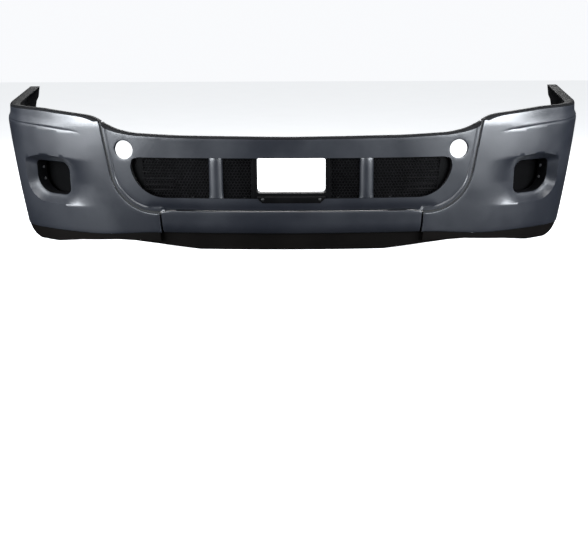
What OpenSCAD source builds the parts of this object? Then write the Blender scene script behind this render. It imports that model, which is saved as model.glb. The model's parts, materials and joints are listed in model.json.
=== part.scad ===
// Front bumper cover of a highway tractor: three moulded covers, grille, valences and steel frame.
// +X is to the right as seen from the front, -Y faces forward, +Z is up.

/* [Plan shape] */
// Length along the face of the nearly flat middle, from the centre line
middle_run = 505; // [420:5:620]
// Heading that the face reaches at the end of the middle, in degrees
middle_turn = 8; // [6:1:10]
// Length along the face of the shoulder beside the middle
shoulder_run = 275; // [230:5:340]
// Heading at the end of the shoulder, in degrees
shoulder_turn = 22; // [18:1:26]
// Length along the face of the flank that carries the fog lamp opening
flank_run = 410; // [340:5:500]
// Heading at the end of the flank, in degrees
flank_turn = 40; // [36:1:44]
// Radius of the outer corner in plan
corner_radius = 298; // [240:2:360]
// Heading of the wing that runs back beside the wheel, in degrees
wing_turn = 88; // [84:1:89]
// Length along the face of the wing
wing_run = 350; // [290:5:420]

/* [Heights] */
// Height of the top edge at the centre line
centre_top = 463; // [440:1:490]
// Height of the top edge where the end covers begin to rise to full height
shoulder_top = 543; // [520:1:600]
// Height of the top edge at the outer corner
corner_top = 567; // [550:1:650]
// Height of the top edge at the rear of the wing
wing_top = 619; // [600:1:745]
// Height of the lower edge of the end covers
end_bottom = 52; // [44:1:62]
// Height of the lower edge of the lower centre panel
panel_bottom = 72; // [60:1:84]
// How far the face leans in from the top of the lean down to the ground
lean_in = 82; // [68:1:98]

/* [Covers] */
// Wall thickness of the moulded covers
wall = 3.2; // [2.6:0.1:4]
// Depth of the flange turned back along the top edge
top_flange = 26; // [20:1:32]
// Depth of the flange turned in along the top of each wing
wing_flange = 50; // [30:1:56]
// Width of the gap at the seam between centre and end covers
seam_gap = 7; // [5:1:9]
// Depth of the walls that run back from the grille opening
grille_wall = 46; // [38:1:55]

/* [Openings] */
// Half the width of the grille opening at its top
grille_half = 646; // [560:1:660]
// Height of the grille opening's lower edge
grille_low = 204; // [196:1:214]
// Height of the grille opening's upper edge
grille_high = 386; // [376:1:396]
// Half the width of the see-through centre opening
window_half = 137; // [115:1:164]
// Lower edge of the see-through centre opening
window_low = 238; // [230:1:250]
// Upper edge of the see-through centre opening
window_high = 380; // [365:1:381]
// Distance of each post's middle from the centre line
post_x = 299; // [260:1:340]
// Width of each post
post_w = 55; // [46:1:66]
// Diameter of the tow holes
tow_d = 75; // [62:1:90]
// Distance of each tow hole from the centre line
tow_x = 660; // [652:1:668]
// Height of the tow holes
tow_z = 409; // [402:1:414]
// Inner edge of the fog lamp opening, from the centre line
fog_inner = 901; // [880:1:915]
// Width of the fog lamp opening
fog_w = 164; // [137:1:190]
// Lower edge of the fog lamp opening
fog_low = 202; // [180:1:220]
// Height of the fog lamp opening
fog_h = 138; // [115:1:165]
// How far the face is scooped in round the fog lamp opening
fog_recess = 34; // [26:1:38]
// Depth of the black pocket that closes the fog lamp opening
pocket_depth = 105; // [88:1:126]

/* [Frame] */
// Height of the lower steel beam's section
beam_h = 64; // [53:1:76]
// Depth of the lower steel beam's section
beam_d = 70; // [58:1:84]
// Wall of the steel parts
steel = 4; // [3:0.5:5]
// Distance of each frame bracket from the centre line
bracket_x = 432; // [380:1:480]
// How far each frame bracket's mounting face stands behind the cover's front
bracket_reach = 330; // [300:5:400]
// Bolt spacing of the frame bracket across
bolt_span_x = 50; // [40:1:60]
// Bolt spacing of the frame bracket upward
bolt_span_z = 120; // [100:1:144]
// Diameter of the frame bolt holes
bolt_hole_d = 13; // [11:0.5:15]

/* [Hidden] */

body_colour = "#3c4149";
black_plastic = "#17171a";
dark_brown = "#1c1715";
frame_steel = "#2b2d30";
zinc = "#9a9da1";

lean_top = 500;                 // height above which the face stands upright
lean_bow = 0.27;                // share of the lean that grows with the square of the drop
clear = 0.4;                    // space left between neighbouring mouldings
reach = 900;                    // how far cutting outlines run from front to back
facet_run = 45;                 // length of one facet along the face
flange_drop = 0.4;              // top flanges lie this much below the covers' edges
lip_low = 161;                  // lower edge of the centre cover under the grille
seam_foot_x = 523;              // where the seam meets the lower centre panel
seam_knee = [690, 158];         // corner that the seam curves round
seam_knee_r = 185;
seam_head = [762, 566];         // where the seam would leave the top edge
panel_gap = 4;                  // gap between lip and lower centre panel
lip_lap = 10;                   // how far the lower panel's edge stands up behind the lip
grille_knee = [grille_half - 24, grille_low];
grille_top_r = 45;
grille_knee_r = (grille_high - grille_low - grille_top_r * 1.15 - 3) * 1.14; // as round as the side allows
post_set = 7;                   // how far the posts' fronts lie behind the face
post_leg = 8;                   // straight sides behind each post's round front
post_root = 5;                  // how far the posts run into the walls of the opening
tray_half = 134;                // half width of the tray below the see-through opening
tray_low = 199;
tray_high = 227;
tray_chamfer = 20;
bezel_rim = 15;                 // width of the frame round the see-through opening
mesh_set = 30;                  // how far the grille mesh lies behind the face
mesh_t = 4;
mesh_end = grille_half - 50;    // outer end of the mesh, seen from the front
mesh_lap = 12;                  // how far the mesh lies over the cover's end flange
valence_t = 4;
valence_overlap = 14;           // how far valences reach up behind the covers
dam_half = 704;                 // half width of the air dam
rail_low = 402;
rail_high = 446;
rail_end = 575;                 // rails stop short of the tow holes
rail_set = 11;                  // space between cover and steel, bridged by clips
rail_d = 40;                    // depth of the upper rail's section
beam_low = 84;
beam_front = top_flange + valence_t + rail_set;
beam_back = beam_front + beam_d;
bracket_w = 84;
seat_t = 10;                    // curved seats that hold the brackets to rail and beam
beam_end = 700;
brace_end = 1225;
brace_foot = 40;                // length of the brace's foot against the end cover
fog_radii = [30, 75, 20, 40];   // inner low, outer low, outer high, inner high
fog_collar = 12;                // length of the collar behind the fog lamp opening
recess_rim = 34;                // width of the scooped band round the fog lamp opening
fog_cut_back = 200;             // fog lamp openings are cut from the front to this y
pocket_wall = 3;
pocket_flange = 16;
bolt_r = 5;
screw_r = 3;

plan_segments = [
    [middle_run, middle_turn],
    [shoulder_run, shoulder_turn],
    [flank_run, flank_turn],
    [corner_radius * (wing_turn - flank_turn) * PI / 180, wing_turn],
    [wing_run, wing_turn]
];
corner_start = middle_run + shoulder_run + flank_run;
corner_end = corner_start + plan_segments[3][0];
face_end = corner_end + wing_run;

// Height of the top edge against the distance along the face
top_line = [
    [0, centre_top],
    [middle_run - 60, centre_top + 5],
    [middle_run + 130, centre_top + 13],
    [middle_run + 200, centre_top + 27],
    [middle_run + 250, (centre_top + shoulder_top) / 2 + 8],
    [middle_run + 290, shoulder_top - 9],
    [middle_run + 330, shoulder_top],
    [corner_start - 110, corner_top - 5],
    [corner_start + 150, corner_top],
    [corner_end, corner_top + (wing_top - corner_top) * 0.2],
    [face_end, wing_top]
];
function top_z(s) = lookup(abs(s), top_line);

// Walks the chain of arcs: [x, y, heading] after a distance s along the face
function arc_step(at, run, turn) =
    let (bend = turn - at[2], r = run * 180 / PI / (abs(bend) < 0.001 ? 0.001 : bend))
    abs(bend) < 0.001
        ? [at[0] + run * cos(turn), at[1] + run * sin(turn), turn]
        : [at[0] + r * (sin(turn) - sin(at[2])), at[1] + r * (cos(at[2]) - cos(turn)), turn];
function plan_walk(s, i = 0, at = [0, 0, 0]) =
    let (run = plan_segments[i][0], turn = plan_segments[i][1])
    i == len(plan_segments) - 1 || s <= run
        ? arc_step(at, s, at[2] + (turn - at[2]) * s / run)
        : plan_walk(s - run, i + 1, arc_step(at, run, turn));
function plan_at(s) = plan_walk(s) + [0, front_y, 0];

// How far the face has leaned in at height z
function lean(z) =
    let (t = max(0, (lean_top - z) / lean_top))
    lean_in * (t * (1 - lean_bow) + t * t * lean_bow);

// The middle of the part's depth lies at y = 0
front_y = -(plan_walk(face_end)[1] + cos(wing_turn) * wing_flange + lean(centre_top)) / 2;

// Point of the face at distance s and height z, set back by depth d along its normal
function face_point(s, z, d) =
    let (p = plan_at(abs(s)), side = s < 0 ? -1 : 1, back = lean(z) + d)
    [side * (p[0] - sin(p[2]) * back), p[1] + cos(p[2]) * back, z];

// Distances along the face between two ends, closer together where the face turns faster
function facet_stops(s0, s1) = concat([s0], [
    for (k = [-400 : 400])
        let (s = abs(k) * facet_run <= corner_start
            ? k * facet_run
            : sign(k) * (corner_start - corner_start % facet_run
                + (abs(k) - floor(corner_start / facet_run)) * facet_run * 0.6))
        if (s > s0 + 4 && s < s1 - 4) s
], [s1]);

// Closed slab that follows the face from s0 to s1, from depth d0 to depth d1
module face_slab(s0, s1, low, high, d0, d1, rows = 4) {
    stops = facet_stops(s0, s1);
    n = len(stops);
    m = rows + 1;
    points = [
        for (d = [d0, d1], s = stops, r = [0 : rows])
            face_point(s, low(s) + (high(s) - low(s)) * r / rows, d)
    ];
    half = n * m;
    faces = concat(
        [for (i = [0 : n - 2], r = [0 : rows - 1], t = [0, 1])
            let (a = i * m + r, b = a + m)
            t == 0 ? [a, b + 1, b] : [a, a + 1, b + 1]],
        [for (i = [0 : n - 2], r = [0 : rows - 1], t = [0, 1])
            let (a = half + i * m + r, b = a + m)
            t == 0 ? [a, b, b + 1] : [a, b + 1, a + 1]],
        [for (i = [0 : n - 2], t = [0, 1])
            let (a = i * m, b = a + m)
            t == 0 ? [a, b, b + half] : [a, b + half, a + half]],
        [for (i = [0 : n - 2], t = [0, 1])
            let (a = i * m + rows, b = a + m)
            t == 0 ? [a, b + half, b] : [a, a + half, b + half]],
        [for (r = [0 : rows - 1], t = [0, 1])
            let (a = r, b = r + 1)
            t == 0 ? [a, b + half, b] : [a, a + half, b + half]],
        [for (r = [0 : rows - 1], t = [0, 1])
            let (a = (n - 1) * m + r, b = a + 1)
            t == 0 ? [a, b, b + half] : [a, b + half, a + half]]
    );
    polyhedron(points, faces, convexity = 10);
}
// Closed solid with one section all along the face from s0 to s1; each corner is [z, depth]
module face_sweep(s0, s1, section) {
    stops = facet_stops(s0, s1);
    n = len(stops);
    m = len(section);
    points = [for (s = stops, c = section) face_point(s, c[0], c[1])];
    sides = [for (i = [0 : n - 2], k = [0 : m - 1], t = [0, 1])
        let (a = i * m + k, b = i * m + (k + 1) % m)
        t == 0 ? [a, b + m, a + m] : [a, b, b + m]];
    ends = [[for (k = [m - 1 : -1 : 0]) k], [for (k = [0 : m - 1]) (n - 1) * m + k]];
    polyhedron(points, concat(sides, ends), convexity = 10);
}
function level(z) = function(s) z;
function top_edge(drop = 0) = function(s) top_z(s) - drop;

// Outline with its corners rounded by arcs; each corner is [x, z, radius]
function unit(v) = v / norm(v);
function round_corner(before, at, after) =
    let (c = [at[0], at[1]], u = unit([before[0], before[1]] - c), v = unit([after[0], after[1]] - c))
    let (half_angle = acos(u * v) / 2, r = at[2], run = r / tan(half_angle))
    let (middle = c + unit(u + v) * r / sin(half_angle), n = r > 60 ? 10 : 5)
    r < 0.01 ? [c] : [
        for (k = [0 : n])
            middle + r * unit(unit(c + u * run - middle) * (n - k) + unit(c + v * run - middle) * k)
    ];
function rounded(corners) = [
    for (i = [0 : len(corners) - 1])
        let (n = len(corners))
        each round_corner(corners[(i + n - 1) % n], corners[i], corners[(i + 1) % n])
];
// Closed outline that is the same on both sides of the centre line, from its right half
function both_sides(half_points) = concat(
    half_points,
    [for (i = [len(half_points) - 1 : -1 : 0]) [-half_points[i][0], half_points[i][1], half_points[i][2]]]
);
// Cuts or fills an outline drawn in front view from front to back
module front_outline(points, y0 = -reach, y1 = reach) {
    translate([0, y1, 0]) rotate([90, 0, 0]) linear_extrude(height = y1 - y0) polygon(points);
}
// Cuts or fills an outline drawn in side view, from one side of the centre line outward
module side_outline(points) {
    rotate([90, 0, 90]) linear_extrude(height = 1600) polygon(points);
}
module mirrored(side) {
    if (side > 0) children(); else mirror([1, 0, 0]) children();
}

// Outline of the centre cover, grown outward by m
function centre_outline(m) = rounded(both_sides([
    [seam_head[0] + m, seam_head[1] + 200, 0],
    [seam_head[0] + m, seam_head[1], 0],
    [seam_knee[0] + m, seam_knee[1] - m, seam_knee_r + m],
    [seam_foot_x, seam_knee[1] - m, 0],
    [seam_foot_x - 4, lip_low - m, 0]
]));
// Grille opening, grown by m
function grille_outline(m) = rounded(both_sides([
    [grille_half + m, grille_high + m, grille_top_r + m],
    [grille_knee[0] + m, grille_knee[1] - m, grille_knee_r + m]
]));
function fog_outline(m) = rounded([
    [fog_inner - m, fog_low - m, fog_radii[0] + m],
    [fog_inner + fog_w + m, fog_low - m, fog_radii[1] + m],
    [fog_inner + fog_w + m, fog_low + fog_h + m, fog_radii[2] + m],
    [fog_inner - m, fog_low + fog_h + m, fog_radii[3] + m]
]);
function recess_outline(m) = rounded([
    [fog_inner - recess_rim - m, fog_low - recess_rim - m, 25 + m],
    [fog_inner + fog_w + 1.3 * recess_rim + m, fog_low - recess_rim - m, 95 + m],
    [fog_inner + fog_w + 1.3 * recess_rim + m, fog_low + fog_h + recess_rim * 0.85 + m, 25 + m],
    [fog_inner - recess_rim - m, fog_low + fog_h + recess_rim * 0.85 + m, 25 + m]
]);
function tray_outline(m) = [
    [-tray_half - m, tray_high],
    [-tray_half - m, tray_low + tray_chamfer],
    [-tray_half + tray_chamfer - m, tray_low - m],
    [tray_half - tray_chamfer + m, tray_low - m],
    [tray_half + m, tray_low + tray_chamfer],
    [tray_half + m, tray_high]
];
function box_outline(x0, x1, z0, z1) = [[x0, z0], [x1, z0], [x1, z1], [x0, z1]];

// Distance along the face at which it is x away from the centre line
function run_at(x, low = 0, high = 0, i = 0) =
    let (top = high == 0 ? corner_end : high, mid = (low + top) / 2)
    i > 24 ? mid
    : plan_at(mid)[0] < x ? run_at(x, mid, top, i + 1) : run_at(x, low, mid, i + 1);

// Places children on the face, z axis along the outward normal
module on_face(x, z, depth) {
    s = run_at(x);
    p = face_point(s, z, depth);
    translate(p) rotate([90, 0, plan_at(s)[2]]) children();
}
module screw(head_r, head_t, shank_r, shank) {
    cylinder(r = head_r, h = head_t, $fn = 6);
    translate([0, 0, -shank]) cylinder(r = shank_r, h = shank, $fn = 24);
}

module tow_tube(r, front, back) {
    on_face(tow_x, tow_z, 0) translate([0, 0, -back]) cylinder(r = r, h = back + front, $fn = 64);
}

// Round-fronted hollow post across the grille opening, open at its back
module grille_post() {
    r = post_w / 2;
    s = run_at(post_x);
    low = face_point(s, grille_low - post_root, post_set + r);
    high = face_point(s, grille_high + post_root, post_set + r);
    translate(low) rotate([atan2(low[1] - high[1], high[2] - low[2]), 0, plan_at(s)[2]])
        linear_extrude(height = norm(high - low)) difference() {
            union() {
                circle(r, $fn = 64);
                translate([-r, 0]) square([2 * r, post_leg]);
            }
            circle(r - wall, $fn = 64);
            translate([wall - r, 0]) square([2 * (r - wall), post_leg + 1]);
        }
}

module centre_skin() {
    difference() {
        union() {
            face_slab(-800, 800, level(lip_low - 10), top_edge(), 0, wall);
            face_slab(-800, 800, top_edge(wall), top_edge(flange_drop), wall / 2, top_flange, 1);
        }
        front_outline(grille_outline(0), -reach - 20, reach + 20);
    }
}

// Wall that runs back all round the grille opening
module grille_ring() {
    intersection() {
        face_slab(-740, 740, level(lip_low + 4), level(grille_high + 40), wall / 2, grille_wall);
        difference() {
            front_outline(grille_outline(wall));
            front_outline(grille_outline(0), -reach - 20, reach + 20);
        }
    }
}

// Flange at each end of the grille opening that the mesh is screwed to
module mesh_flange() {
    intersection() {
        face_slab(-740, 740, level(grille_low - 8), level(grille_high + 8),
            mesh_set + mesh_t + clear, grille_wall - 5, 2);
        front_outline(grille_outline(wall / 2));
        front_outline(box_outline(mesh_end - mesh_lap, 800, 0, 600));
    }
}

module centre_cover() {
    color(body_colour) difference() {
        union() {
            intersection() {
                centre_skin();
                front_outline(centre_outline(0));
            }
            grille_ring();
            for (side = [-1, 1]) {
                mirrored(side) mesh_flange();
                mirrored(side) grille_post();
                mirrored(side) tow_tube(tow_d / 2 + wall, -wall / 2, 30);
            }
        }
        front_outline(tray_outline(clear), -reach - 30, reach + 30);
        for (side = [-1, 1]) mirrored(side) tow_tube(tow_d / 2, 40, 60);
    }
}

module end_cover(side) {
    rear_slant = [[wing_rear_y(wing_top) + 400, -50], [wing_rear_y(0), -50],
        [wing_rear_y(0), 0], [wing_rear_y(wing_top), wing_top], [wing_rear_y(wing_top) + 400, wing_top + 40]];
    color(body_colour) mirrored(side) fog_scoop();
    color(body_colour) mirrored(side) difference() {
        union() {
            face_slab(run_at(seam_foot_x), face_end, level(end_bottom), top_edge(), 0, wall, 5);
            face_slab(run_at(seam_foot_x), corner_start, top_edge(wall), top_edge(flange_drop),
                wall / 2, top_flange, 1);
            face_slab(corner_start, face_end, top_edge(wall), top_edge(flange_drop), wall / 2,
                wing_flange, 1);
        }
        front_outline(recess_outline(0), -reach - 40, fog_cut_back);
        front_outline(centre_outline(seam_gap), -reach - 20, reach + 20);
        front_outline(box_outline(-100, seam_foot_x + seam_gap / 2, -50, 200), -reach - 30, reach + 30);
        side_outline(rear_slant);
    }
}
// Recessed floor and walls round the fog lamp opening
module fog_scoop() {
    s0 = run_at(fog_inner) - 90;
    s1 = run_at(fog_inner + fog_w) + 120;
    difference() {
        union() {
            intersection() {
                face_slab(s0, s1, level(fog_low - 70), level(fog_low + fog_h + 70),
                    fog_recess, fog_recess + wall, 3);
                front_outline(recess_outline(wall / 2));
            }
            intersection() {
                face_slab(s0, s1, level(fog_low - 80), level(fog_low + fog_h + 80),
                    wall / 2, fog_recess + wall / 2, 2);
                difference() {
                    front_outline(recess_outline(wall));
                    front_outline(recess_outline(0), -reach - 20, reach + 20);
                }
            }
            intersection() {
                face_slab(s0, s1, level(fog_low - 60), level(fog_low + fog_h + 60),
                    fog_recess + wall / 2, fog_recess + fog_collar, 2);
                front_outline(fog_outline(wall));
            }
        }
        front_outline(fog_outline(0), -reach, fog_cut_back);
    }
}
function wing_rear_y(z) =
    let (p = plan_at(face_end))
    p[1] - (wing_top - z) * tan(31);

module lower_centre_panel() {
    top = lip_low - panel_gap;
    tab_front = wall + clear;
    tab_back = tab_front + wall;
    color(body_colour) intersection() {
        face_sweep(-560, 560, [
            [panel_bottom, 0],
            [(panel_bottom + top) / 2, 0],
            [top, 0],
            [top, tab_front],
            [lip_low + lip_lap, tab_front],
            [lip_low + lip_lap, tab_back],
            [top - 2 * wall, tab_back],
            [top - 2 * wall, wall],
            [panel_bottom + wall, wall],
            [panel_bottom + wall, top_flange],
            [panel_bottom, top_flange]
        ]);
        front_outline([
            [-seam_foot_x + seam_gap / 2 + 10, 0],
            [seam_foot_x - seam_gap / 2 - 10, 0],
            [seam_foot_x - seam_gap / 2, lip_low + lip_lap + 1],
            [-seam_foot_x + seam_gap / 2, lip_low + lip_lap + 1]
        ]);
    }
}

module grille_mesh(side) {
    color(black_plastic) mirrored(side) intersection() {
        face_slab(0, 700, level(grille_low - 10), level(grille_high + 10), mesh_set, mesh_set + mesh_t, 3);
        front_outline(grille_outline(-clear));
        front_outline(box_outline(window_half + bezel_rim + clear, mesh_end, 0, 600));
        difference() {
            front_outline(box_outline(0, 800, 0, 600));
            front_outline(box_outline(post_x - post_w / 2 - clear, post_x + post_w / 2 + clear, 0, 600),
                -reach - 30, reach + 30);
        }
    }
}

module centre_bezel() {
    color(black_plastic) difference() {
        union() {
            intersection() {
                face_slab(-220, 220, level(grille_low + clear), level(grille_high - clear), 14,
                    grille_wall, 2);
                front_outline(box_outline(-window_half - bezel_rim, window_half + bezel_rim, 0, grille_high));
            }
            intersection() {
                face_slab(-220, 220, level(tray_low - 4), level(tray_high), -5, grille_wall - 1, 1);
                front_outline(tray_outline(0));
            }
        }
        front_outline(box_outline(-window_half, window_half, window_low, window_high), -reach - 30,
            reach + 30);
    }
}

module end_valence(side) {
    valence_foot = function(s)
        lookup(s, [[run_at(dam_half), 34], [corner_start - 250, 18], [corner_start - 110, 0],
            [corner_start + 10, 0], [corner_start + 50, 8], [corner_start + 100, 22],
            [corner_start + 150, 40], [corner_start + 200, 48]]);
    color(dark_brown) mirrored(side)
        face_slab(run_at(seam_foot_x) + 3, corner_start + 200, valence_foot,
            level(end_bottom + valence_overlap), wall + clear, wall + clear + valence_t, 2);
}

module centre_air_dam() {
    dam_foot = function(s)
        lookup(abs(s), [[0, 0], [380, 0], [560, 20], [run_at(dam_half), 34]]);
    color(dark_brown)
        face_slab(-run_at(dam_half), run_at(dam_half), dam_foot,
            level(panel_bottom + wall + valence_overlap), top_flange + 1, top_flange + 1 + valence_t, 2);
}

module seam_strip(side) {
    color(black_plastic) mirrored(side) intersection() {
        face_slab(540, 800, level(150), top_edge(wall + 6), wall + clear, wall + clear + 3, 3);
        difference() {
            front_outline(centre_outline(seam_gap + 16));
            front_outline(centre_outline(-16), -reach - 20, reach + 20);
        }
    }
}

// Hollow steel section that follows the face
module box_rail(end, low, high, d0, d1) {
    difference() {
        face_slab(-end, end, level(low), level(high), d0, d1, 1);
        face_slab(-end - 10, end + 10, level(low + steel), level(high - steel), d0 + steel, d1 - steel, 1);
    }
}
module upper_rail() {
    color(frame_steel) box_rail(run_at(rail_end), rail_low, rail_high, top_flange + 2,
        top_flange + 2 + rail_d);
}
module lower_beam() {
    color(frame_steel)
        box_rail(run_at(beam_end), beam_low, beam_low + beam_h,
            beam_front, beam_back);
}

module frame_bracket(side) {
    s = run_at(bracket_x);
    seat_s = bracket_w / 2;
    rail_back = top_flange + 2 + rail_d;
    post_y = face_point(s, beam_low, beam_back)[1] + clear + 2;
    arm_y = face_point(s, rail_low, rail_back)[1] + seat_t;
    mount_y = front_y + bracket_reach;
    x0 = bracket_x - bracket_w / 2;
    base_z = beam_low + 10;
    plate_h = rail_low - 8 - base_z;
    color(frame_steel) mirrored(side) difference() {
        union() {
            face_slab(s - seat_s, s + seat_s, level(beam_low + 6), level(beam_low + beam_h - 6),
                beam_back + clear, beam_back + clear + seat_t, 1);
            face_slab(s - seat_s, s + seat_s, level(rail_low + 4), level(rail_high - 4),
                rail_back + clear, rail_back + clear + seat_t, 1);
            translate([x0 + 1, post_y + seat_t / 2, base_z])
                cube([bracket_w - 2, steel, rail_high - 8 - base_z]);
            translate([x0, mount_y - steel, base_z]) cube([bracket_w, steel, plate_h]);
            translate([x0 + 2, post_y + seat_t / 2 + 1, base_z + 1])
                cube([steel, mount_y - post_y - seat_t / 2 - 2, plate_h - 2]);
            translate([x0 + 3, arm_y, rail_low + 8])
                cube([bracket_w - 6, post_y + seat_t - arm_y, rail_high - rail_low - 17]);
        }
        for (i = [-1, 1], j = [-1, 1]) {
            translate([bracket_x + i * bolt_span_x / 2, mount_y + 10,
                base_z + plate_h / 2 + j * bolt_span_z / 2])
                rotate([90, 0, 0]) cylinder(d = bolt_hole_d, h = 30, $fn = 48);
        }
    }
}

module end_brace(side) {
    inner = run_at(beam_end) - 60;
    strap_back = beam_front - clear;
    foot_front = wall + clear;
    low = beam_low + 8;
    high = beam_low + beam_h - 8;
    color(frame_steel) mirrored(side) {
        face_slab(inner, brace_end, level(low), level(high), strap_back - steel, strap_back, 1);
        face_slab(brace_end - steel - 1, brace_end - 1, level(low + 0.5), level(high - 0.5),
            foot_front + 1, strap_back - 1, 1);
        face_slab(brace_end - brace_foot, brace_end - 0.5, level(low + 1), level(high - 1),
            foot_front, foot_front + steel, 1);
    }
}

module wing_bracket(side) {
    color(frame_steel) mirrored(side) {
        face_slab(corner_end - 40, corner_end + 110, level(300), level(430), wall + clear,
            wall + clear + steel, 1);
        face_slab(corner_end - 40, corner_end + 110, level(300), level(300 + steel), wall + clear,
            wall + 48, 1);
    }
}

module fog_pocket(side) {
    s0 = run_at(fog_inner) - 50;
    s1 = run_at(fog_inner + fog_w) + 60 + pocket_depth;
    gap = wall + clear;
    seat = fog_recess + wall + clear;
    color(black_plastic) mirrored(side) difference() {
        union() {
            intersection() {
                face_slab(s0, s1, level(fog_low - 50), level(fog_low + fog_h + 50),
                    seat, seat + pocket_wall, 2);
                front_outline(fog_outline(gap + pocket_wall + pocket_flange));
            }
            intersection() {
                face_slab(s0, s1, level(fog_low - 50), level(fog_low + fog_h + 50),
                    seat, pocket_depth, 2);
                front_outline(fog_outline(gap + pocket_wall));
            }
        }
        intersection() {
            face_slab(s0 - 20, s1 + 20, level(fog_low - 60), level(fog_low + fog_h + 60),
                -20, pocket_depth - pocket_wall, 2);
            front_outline(fog_outline(gap));
        }
    }
}

seam_bolt_places = [[766, 480], [744, 400], [727, 330], [672, 196]];
module seam_bolts() {
    color(zinc) for (side = [-1, 1], p = seam_bolt_places)
        mirrored(side) on_face(p[0] + 14, p[1] - 8, wall + clear + 3)
            rotate([180, 0, 0]) screw(8, 5, bolt_r, 3);
}
module cover_clips() {
    color(black_plastic) for (x = [-540, -360, -180, 180, 360, 540]) {
        mirrored(x) on_face(abs(x), (rail_low + rail_high) / 2, top_flange + 2)
            cylinder(r = 9, h = top_flange + 2 - wall, $fn = 32);
    }
}
module panel_clips() {
    color(black_plastic) for (x = [-460, -230, 0, 230, 460]) {
        mirrored(x) on_face(abs(x), beam_low + beam_h / 2, beam_front)
            cylinder(r = 9, h = beam_front - wall, $fn = 32);
    }
}
module beam_bolts() {
    color(zinc) for (side = [-1, 1], z = [beam_low + beam_h / 2], dx = [-18, 18]) {
        y = face_point(run_at(bracket_x), beam_low, beam_back)[1] + 4 + steel;
        translate([side * bracket_x + dx, y, z]) rotate([-90, 0, 0]) cylinder(r = 8, h = 6, $fn = 6);
    }
}
module brace_bolts() {
    color(zinc) for (side = [-1, 1], x = [beam_end - 46, beam_end - 22])
        mirrored(side) on_face(x, beam_low + beam_h / 2, beam_front - steel - 0.5)
            screw(8, 5, bolt_r, steel + 1);
}
module valence_screws() {
    color(zinc) for (side = [-1, 1], x = [760, 860, 960, 1060])
        mirrored(side) on_face(x, end_bottom + valence_overlap / 2, wall + clear + valence_t)
            rotate([180, 0, 0]) screw(6, 3, screw_r, valence_t + clear);
}
module air_dam_clips() {
    color(black_plastic) for (side = [-1, 1], x = [70, 210, 350, 490])
        mirrored(side) on_face(x, panel_bottom + wall + valence_overlap / 2, top_flange + 1 + valence_t)
            rotate([180, 0, 0]) screw(7, 4, screw_r, valence_t + 1);
}
module mesh_screws() {
    color(black_plastic) for (side = [-1, 1], x = [190, 400, 540], z = [grille_low + 12, grille_high - 12])
        mirrored(side) on_face(x, z, mesh_set + mesh_t)
            rotate([180, 0, 0]) screw(6, 3, screw_r, 2);
}
module pocket_screws() {
    m = wall + clear + pocket_wall + pocket_flange / 2;
    x0 = fog_inner - m;
    x1 = fog_inner + fog_w + m;
    color(black_plastic) for (side = [-1, 1], x = [x0, x1], z = [fog_low + 60, fog_low + fog_h - 30])
        mirrored(side) on_face(x, z, fog_recess + wall + clear + pocket_wall)
            rotate([180, 0, 0]) screw(6, 3, screw_r, pocket_wall);
}

centre_cover();
end_cover(-1);  // left_end_cover
end_cover(1);  // right_end_cover
lower_centre_panel();
grille_mesh(-1);  // left_grille_mesh
grille_mesh(1);  // right_grille_mesh
centre_bezel();
end_valence(-1);  // left_end_valence
end_valence(1);  // right_end_valence
centre_air_dam();
seam_strip(-1);  // left_seam_strip
seam_strip(1);  // right_seam_strip
upper_rail();
lower_beam();
frame_bracket(-1);  // left_frame_bracket
frame_bracket(1);  // right_frame_bracket
end_brace(-1);  // left_end_brace
end_brace(1);  // right_end_brace
wing_bracket(-1);  // left_wing_bracket
wing_bracket(1);  // right_wing_bracket
fog_pocket(-1);  // left_fog_pocket
fog_pocket(1);  // right_fog_pocket
seam_bolts();
cover_clips();
beam_bolts();
brace_bolts();
valence_screws();
air_dam_clips();
mesh_screws();
pocket_screws();
panel_clips();
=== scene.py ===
"""Visual model of a highway tractor's front bumper cover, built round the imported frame.

The covers are rebuilt as fine smooth sheets over the same face shape as the CAD, with rounded
edges, scooped fog lamp recesses and a crease. Lengths inside the classes are in millimetres.
"""

import json
import logging
import math
from dataclasses import dataclass, field
from enum import Enum
from functools import cache
from typing import Callable, Sequence

import bmesh
import bpy
import numpy as np
from mathutils import Euler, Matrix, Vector
from mathutils.geometry import delaunay_2d_cdt


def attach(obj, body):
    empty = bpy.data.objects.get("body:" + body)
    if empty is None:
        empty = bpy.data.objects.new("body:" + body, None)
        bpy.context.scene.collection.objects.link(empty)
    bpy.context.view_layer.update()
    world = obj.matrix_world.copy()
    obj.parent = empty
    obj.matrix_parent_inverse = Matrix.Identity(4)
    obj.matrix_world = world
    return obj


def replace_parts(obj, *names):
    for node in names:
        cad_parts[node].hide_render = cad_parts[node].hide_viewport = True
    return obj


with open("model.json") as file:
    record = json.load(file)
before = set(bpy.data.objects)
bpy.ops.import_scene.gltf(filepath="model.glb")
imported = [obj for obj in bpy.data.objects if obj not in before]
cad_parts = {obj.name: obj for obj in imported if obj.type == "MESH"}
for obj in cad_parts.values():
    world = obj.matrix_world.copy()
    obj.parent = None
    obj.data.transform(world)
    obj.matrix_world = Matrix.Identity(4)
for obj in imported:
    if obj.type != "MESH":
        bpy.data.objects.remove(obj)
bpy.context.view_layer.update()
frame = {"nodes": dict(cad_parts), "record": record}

MM = 0.001
TINY = 1e-9
LOG = logging.getLogger("bumper")
Array = np.ndarray
Rgb = tuple[float, float, float]
Corner = tuple[float, float, float]
DepthRule = Callable[[Array, Array], Array]


class Side(Enum):
    """The two ends of the bumper, as seen from the front."""

    LEFT = -1
    RIGHT = 1

    @property
    def word(self) -> str:
        """Lower-case name used in node and piece names."""
        return self.name.lower()


def smooth(t: Array) -> Array:
    """Smooth step from 0 to 1 as t goes from 0 to 1."""
    t = np.clip(t, 0.0, 1.0)
    return t * t * (3.0 - 2.0 * t)


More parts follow.
